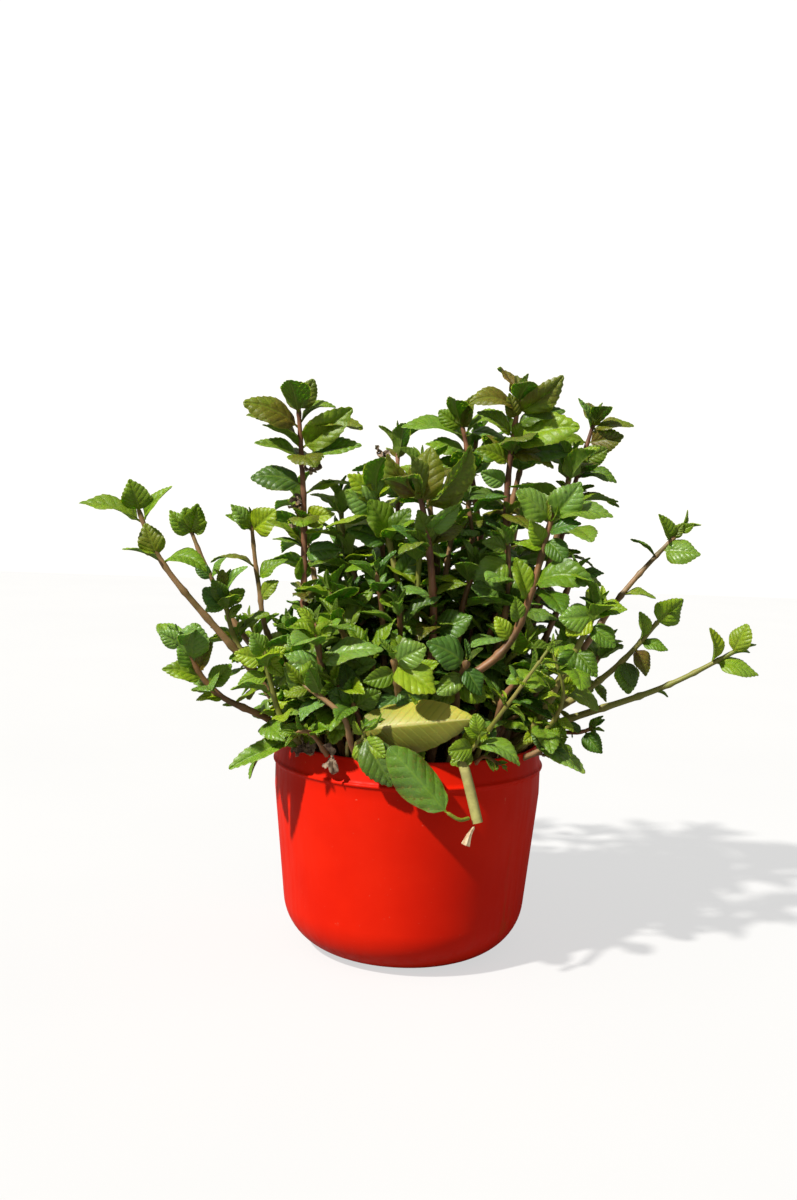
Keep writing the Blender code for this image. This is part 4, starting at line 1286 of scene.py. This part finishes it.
def build_cut_stem():
    """The old cut stem: its hollow end opens downwards."""
    route = cm_route([(*CUT_STEM_FOOT, soil_height(*(v * CM for v in CUT_STEM_FOOT)) / CM - 0.2),
                      *CUT_STEM_POINTS])
    distances = np.linspace(0.0, route.length, CUT_STEM_RINGS)
    radii = np.full(CUT_STEM_RINGS, CUT_STEM_RADIUS)
    radii[0] = CUT_STEM_RADIUS / 50
    inner_end = route.length - CUT_STEM_BORE_DEPTH
    distances = np.concatenate([distances, [route.length, inner_end, inner_end]])
    radii = np.concatenate([radii, [CUT_STEM_BORE, CUT_STEM_BORE, CUT_STEM_BORE / 50]])
    pile = MeshPile()
    add_rings(pile, route, distances, radii, (0.0, 0.0, 0.0), square=False)
    skin = dry_material("old_stem", rgb(0.44, 0.42, 0.13), rgb(0.30, 0.27, 0.09), 130.0)
    place_piece(pile.make("cut_stem_tube", skin, CUT_STEM_CREASE), "old_stem", "cut_stem")


def build_husk(rng):
    """A dried, split husk: a thin flared cup on a thread."""
    route = cm_route(HUSK_POINTS)
    outer = np.linspace(0.0, route.length, HUSK_RINGS)
    flare = HUSK_NECK + (HUSK_MOUTH - HUSK_NECK) * np.linspace(0.0, 1.0, HUSK_RINGS) ** 1.6
    distances = np.concatenate([outer, outer[::-1][:-HUSK_BOTTOM]])
    radii = np.concatenate([flare, flare[::-1][:-HUSK_BOTTOM] - HUSK_WALL])
    radii[0] = radii[-1] = HUSK_NECK / 20
    pile = MeshPile()
    add_rings(pile, route, distances, radii, (0.0, 0.0, 0.0), square=False, ragged=0.25, rng=rng)
    skin = dry_material("dried_husk", rgb(0.62, 0.50, 0.32), rgb(0.38, 0.24, 0.13), 260.0)
    place_piece(pile.make("husk", skin, HUSK_CREASE), "husk", "dried_husk")


# Withered leaves: place in cm and length in mm of each small cluster.
WITHERED_CLUSTER = 3
WITHERED = (
    ((-6.2, -1.0, 28.6), 7), ((-6.1, -0.9, 28.2), 6), ((-6.3, -1.1, 28.0), 5), ((-6.9, -0.7, 26.3), 6),
    ((-7.0, -0.6, 25.8), 6), ((-6.8, -0.6, 25.0), 5), ((-7.0, -0.7, 24.7), 5), ((-4.0, -7.6, 12.6), 9),
    ((-5.7, -6.2, 12.7), 7), ((-5.2, -6.0, 12.4), 8), ((-2.2, -1.4, 29.2), 6), ((-2.0, -1.4, 29.0), 5),
    ((7.6, -4.4, 12.4), 8), ((1.8, -6.4, 11.9), 9), ((-1.5, 6.8, 11.9), 9), ((4.5, 5.2, 11.9), 10),
)


def build_withered_bits(rng):
    """Small crumpled brown leaves that still hang on the stems or lie at the rim."""
    pile = MeshPile()
    for place, length in WITHERED:
        for _ in range(WITHERED_CLUSTER):
            away = unit(rng.normal(size=3))
            base = np.array(place) * CM
            leaf = Leaf(length * MM, width=0.8, curl=rng.uniform(0.6, 1.6), fold=rng.uniform(0.4, 0.9),
                        twist=rng.uniform(-1.5, 1.5), wave=0.25, droop=0.3)
            add_leaf(pile, base, base + away * length * MM, rng.normal(size=3), leaf)
    skin = dry_material("withered_leaf", rgb(0.36, 0.26, 0.17), rgb(0.09, 0.055, 0.04), 300.0)
    place_piece(pile.make("withered_leaves", skin, LEAF_CREASE), "husk")


# ---------------------------------------------------------------- camera, light and floor

CAMERA_PLACE = (0.0, -0.72, 0.2662)
CAMERA_LENS = 36.6                  # mm on a 36 mm sensor
CAMERA_YAW = -0.69                  # degrees to the left
CAMERA_PITCH = 4.81                 # degrees down
CAMERA_ROLL = 1.91
SUN_AZIMUTH = -49.0                 # degrees left of the camera
SUN_HEIGHT = 47.0
SUN_ENERGY = 5.0
SUN_WIDTH = 2.5                     # degrees
SURROUND_LIGHT = 0.30               # strength of the white surround as a light ...
SURROUND_SEEN = 1.1                 # ... and as the backdrop that the camera sees
FLOOR_HALF = 3.0                    # metres


def add_camera():
    yaw, pitch, roll = (math.radians(angle) for angle in (CAMERA_YAW, CAMERA_PITCH, CAMERA_ROLL))
    ahead = Vector((math.sin(yaw) * math.cos(pitch), math.cos(yaw) * math.cos(pitch), -math.sin(pitch)))
    right = Vector((math.cos(yaw), -math.sin(yaw), 0.0))
    up = right.cross(ahead)
    right, up = (right * math.cos(roll) + up * math.sin(roll),
                 up * math.cos(roll) - right * math.sin(roll))
    data = bpy.data.cameras.new("camera")
    data.lens = CAMERA_LENS
    camera = linked("camera", data)
    turn = Matrix((right, up, -ahead)).transposed().to_4x4()
    camera.matrix_world = Matrix.Translation(CAMERA_PLACE) @ turn
    bpy.context.scene.camera = camera


def add_lights():
    """A sun from the upper left in front, and an even surround that the camera sees as white."""
    azimuth, height = math.radians(SUN_AZIMUTH), math.radians(SUN_HEIGHT)
    flat = math.cos(height)
    towards_sun = Vector((math.sin(azimuth) * flat, -math.cos(azimuth) * flat, math.sin(height)))
    data = bpy.data.lights.new("key", "SUN")
    data.energy = SUN_ENERGY
    data.angle = math.radians(SUN_WIDTH)
    data.color = (1.0, 0.97, 0.91)
    key = linked("key", data)
    key.rotation_euler = (-towards_sun).to_track_quat("-Z", "Y").to_euler()

    world = bpy.data.worlds.new("surround")
    world.use_nodes = True
    tree = world.node_tree
    background = tree.nodes["Background"]
    seen = node(tree, "LightPath").outputs["Is Camera Ray"]
    strength = mapped(tree, seen, 0.0, 1.0, SURROUND_LIGHT, SURROUND_SEEN)
    feed(tree, background, {"Color": rgb(1.0, 0.98, 0.93), "Strength": strength})
    bpy.context.scene.world = world
    bpy.context.scene.view_settings.view_transform = "Standard"


def add_floor():
    mesh = bpy.data.meshes.new("floor")
    corners = [(x * FLOOR_HALF, y * FLOOR_HALF, 0) for x, y in ((-1, -1), (1, -1), (1, 1), (-1, 1))]
    mesh.from_pydata(corners, [], [(0, 1, 2, 3)])
    mesh.materials.append(floor_material())
    linked("floor", mesh)


# ---------------------------------------------------------------- the plant

STEM_TONES = {
    "bronzed": (0.95, 0.15, 0.0),
    "mid": (0.75, 0.30, 0.0),
    "fresh": (0.20, 0.20, 0.0),
    "glossy": (0.85, 0.10, 0.0),
    "deep": (0.85, 0.20, 0.0),
}


def add_shoot(stems, leaves, shoot, rng):
    """Add one row of SHOOTS or SPRIGS to a pile of stems and a pile of leaves."""
    place, foot, points, turn, leaf_length, tone = shoot
    route = shoot_route(foot, points)
    hand_set = SET_LEAVES.get(place, ())
    add_stem(stems, route, turn, leaf_length * MM, STEM_TONES[tone], stem_top(hand_set))
    add_leaves(leaves, route, turn, leaf_length * MM, tone, rng, hand_set, place in BARE_STEMS)


def build_shoots(leaf_skin, stem_skin):
    """Each packed shoot gets a stem and a piece of leaves in the place of its own two nodes."""
    for number, shoot in enumerate(SHOOTS):
        place = shoot[0]
        stem, leaves = MeshPile(), MeshPile()
        add_shoot(stem, leaves, shoot, np.random.default_rng(SEED + number))
        place_piece(stem.make(place + "_stem", stem_skin), "stem", "stem_" + place)
        place_piece(leaves.make(place + "_leaves", leaf_skin, LEAF_CREASE), "leaf", "crown_" + place)


def place_group(name, group, stems, leaves, leaf_skin, stem_skin):
    """One piece of stems and one of leaves for a numbered group."""
    place_piece(stems.make(f"{name}_stems_{group + 1}", stem_skin), "stem")
    place_piece(leaves.make(f"{name}_leaves_{group + 1}", leaf_skin, LEAF_CREASE), "leaf")


def build_sprigs(leaf_skin, stem_skin):
    """The rows of SPRIGS, in a few groups."""
    for group in range(SPRIG_GROUPS):
        stems, leaves = MeshPile(), MeshPile()
        for number in range(group, len(SPRIGS), SPRIG_GROUPS):
            add_shoot(stems, leaves, SPRIGS[number], np.random.default_rng(SPRIG_SEED + number))
        place_group("sprig", group, stems, leaves, leaf_skin, stem_skin)


def filler_points(index):
    """Foot and upper points, in cm, of a shoot that leans outwards, lower the farther out."""
    share = math.sqrt((index + 0.5) / FILLER_COUNT)
    reach = FILLER_REACH[0] + (FILLER_REACH[1] - FILLER_REACH[0]) * share
    top = FILLER_HEIGHT[0] + (FILLER_HEIGHT[1] - FILLER_HEIGHT[0]) * share
    x, y = reach * math.cos(index * GOLDEN_ANGLE), reach * math.sin(index * GOLDEN_ANGLE)
    y *= FRONT_SHARE if y < 0 else 1.0
    return (x, y), ((1.15 * x, 1.15 * y, 0.6 * top + 5.4), (1.5 * x, 1.5 * y, top))


def rim_points(index, rng):
    """Foot and upper points, in cm, of a low sprig that leans out over the rim."""
    angle = (index + rng.uniform(-0.3, 0.3)) * 2 * math.pi / RIM_COUNT
    x, y = math.cos(angle), math.sin(angle)
    foot, middle, tip = (reach * rng.uniform(0.92, 1.0) for reach in RIM_REACH)
    top = rng.uniform(*RIM_HEIGHT)
    return (foot * x, foot * y), ((middle * x, middle * y, 0.5 * top + 6.4), (tip * x, tip * y, top))


def add_ruled_shoot(stems, leaves, foot, points, gap, tone, leaf_lengths, rng):
    """Add a shoot that was placed by a rule, unless its tip is in the gap at the front."""
    left, right, front = gap
    tip = points[-1]
    if left < tip[0] < right and tip[1] < front:
        return
    route = shoot_route(foot, points)
    turn = rng.uniform(0, 180)
    leaf_length = rng.uniform(*leaf_lengths) * MM
    add_stem(stems, route, turn, leaf_length, STEM_TONES[tone])
    add_leaves(leaves, route, turn, leaf_length, tone, rng)


def build_fillers(leaf_skin, stem_skin):
    """Inner shoots, in groups that each reach from the middle to the edge."""
    for group in range(FILLER_GROUPS):
        stems, leaves = MeshPile(), MeshPile()
        for index in range(group, FILLER_COUNT, FILLER_GROUPS):
            rng = np.random.default_rng(FILLER_SEED + index)
            tone = FILLER_TONES[index % len(FILLER_TONES)]
            add_ruled_shoot(stems, leaves, *filler_points(index), BARE_FRONT, tone, FILLER_LEAF, rng)
        place_group("inner", group, stems, leaves, leaf_skin, stem_skin)


def build_rim_sprigs(leaf_skin, stem_skin):
    """Low sprigs round the rim, in groups of neighbours."""
    for group in range(RIM_GROUPS):
        stems, leaves = MeshPile(), MeshPile()
        for index in range(group * RIM_COUNT // RIM_GROUPS, (group + 1) * RIM_COUNT // RIM_GROUPS):
            rng = np.random.default_rng(RIM_SEED + index)
            tone = RIM_TONES[index % len(RIM_TONES)]
            add_ruled_shoot(stems, leaves, *rim_points(index, rng), BARE_RIM, tone, RIM_LEAF, rng)
        place_group("rim", group, stems, leaves, leaf_skin, stem_skin)


def build_all():
    add_camera()
    add_lights()
    add_floor()
    build_pot()
    earth = soil_material()
    build_soil(earth)
    build_crumbs(np.random.default_rng(SEED), earth)
    leaf_skin = leaf_material()
    stem_skin = stem_material()
    build_shoots(leaf_skin, stem_skin)
    build_sprigs(leaf_skin, stem_skin)
    build_fillers(leaf_skin, stem_skin)
    build_rim_sprigs(leaf_skin, stem_skin)
    build_stalked_leaves(leaf_skin)
    build_hanging_leaf(leaf_skin)
    build_cut_stem()
    build_husk(np.random.default_rng(SEED))
    build_withered_bits(np.random.default_rng(SEED + 1))


build_all()
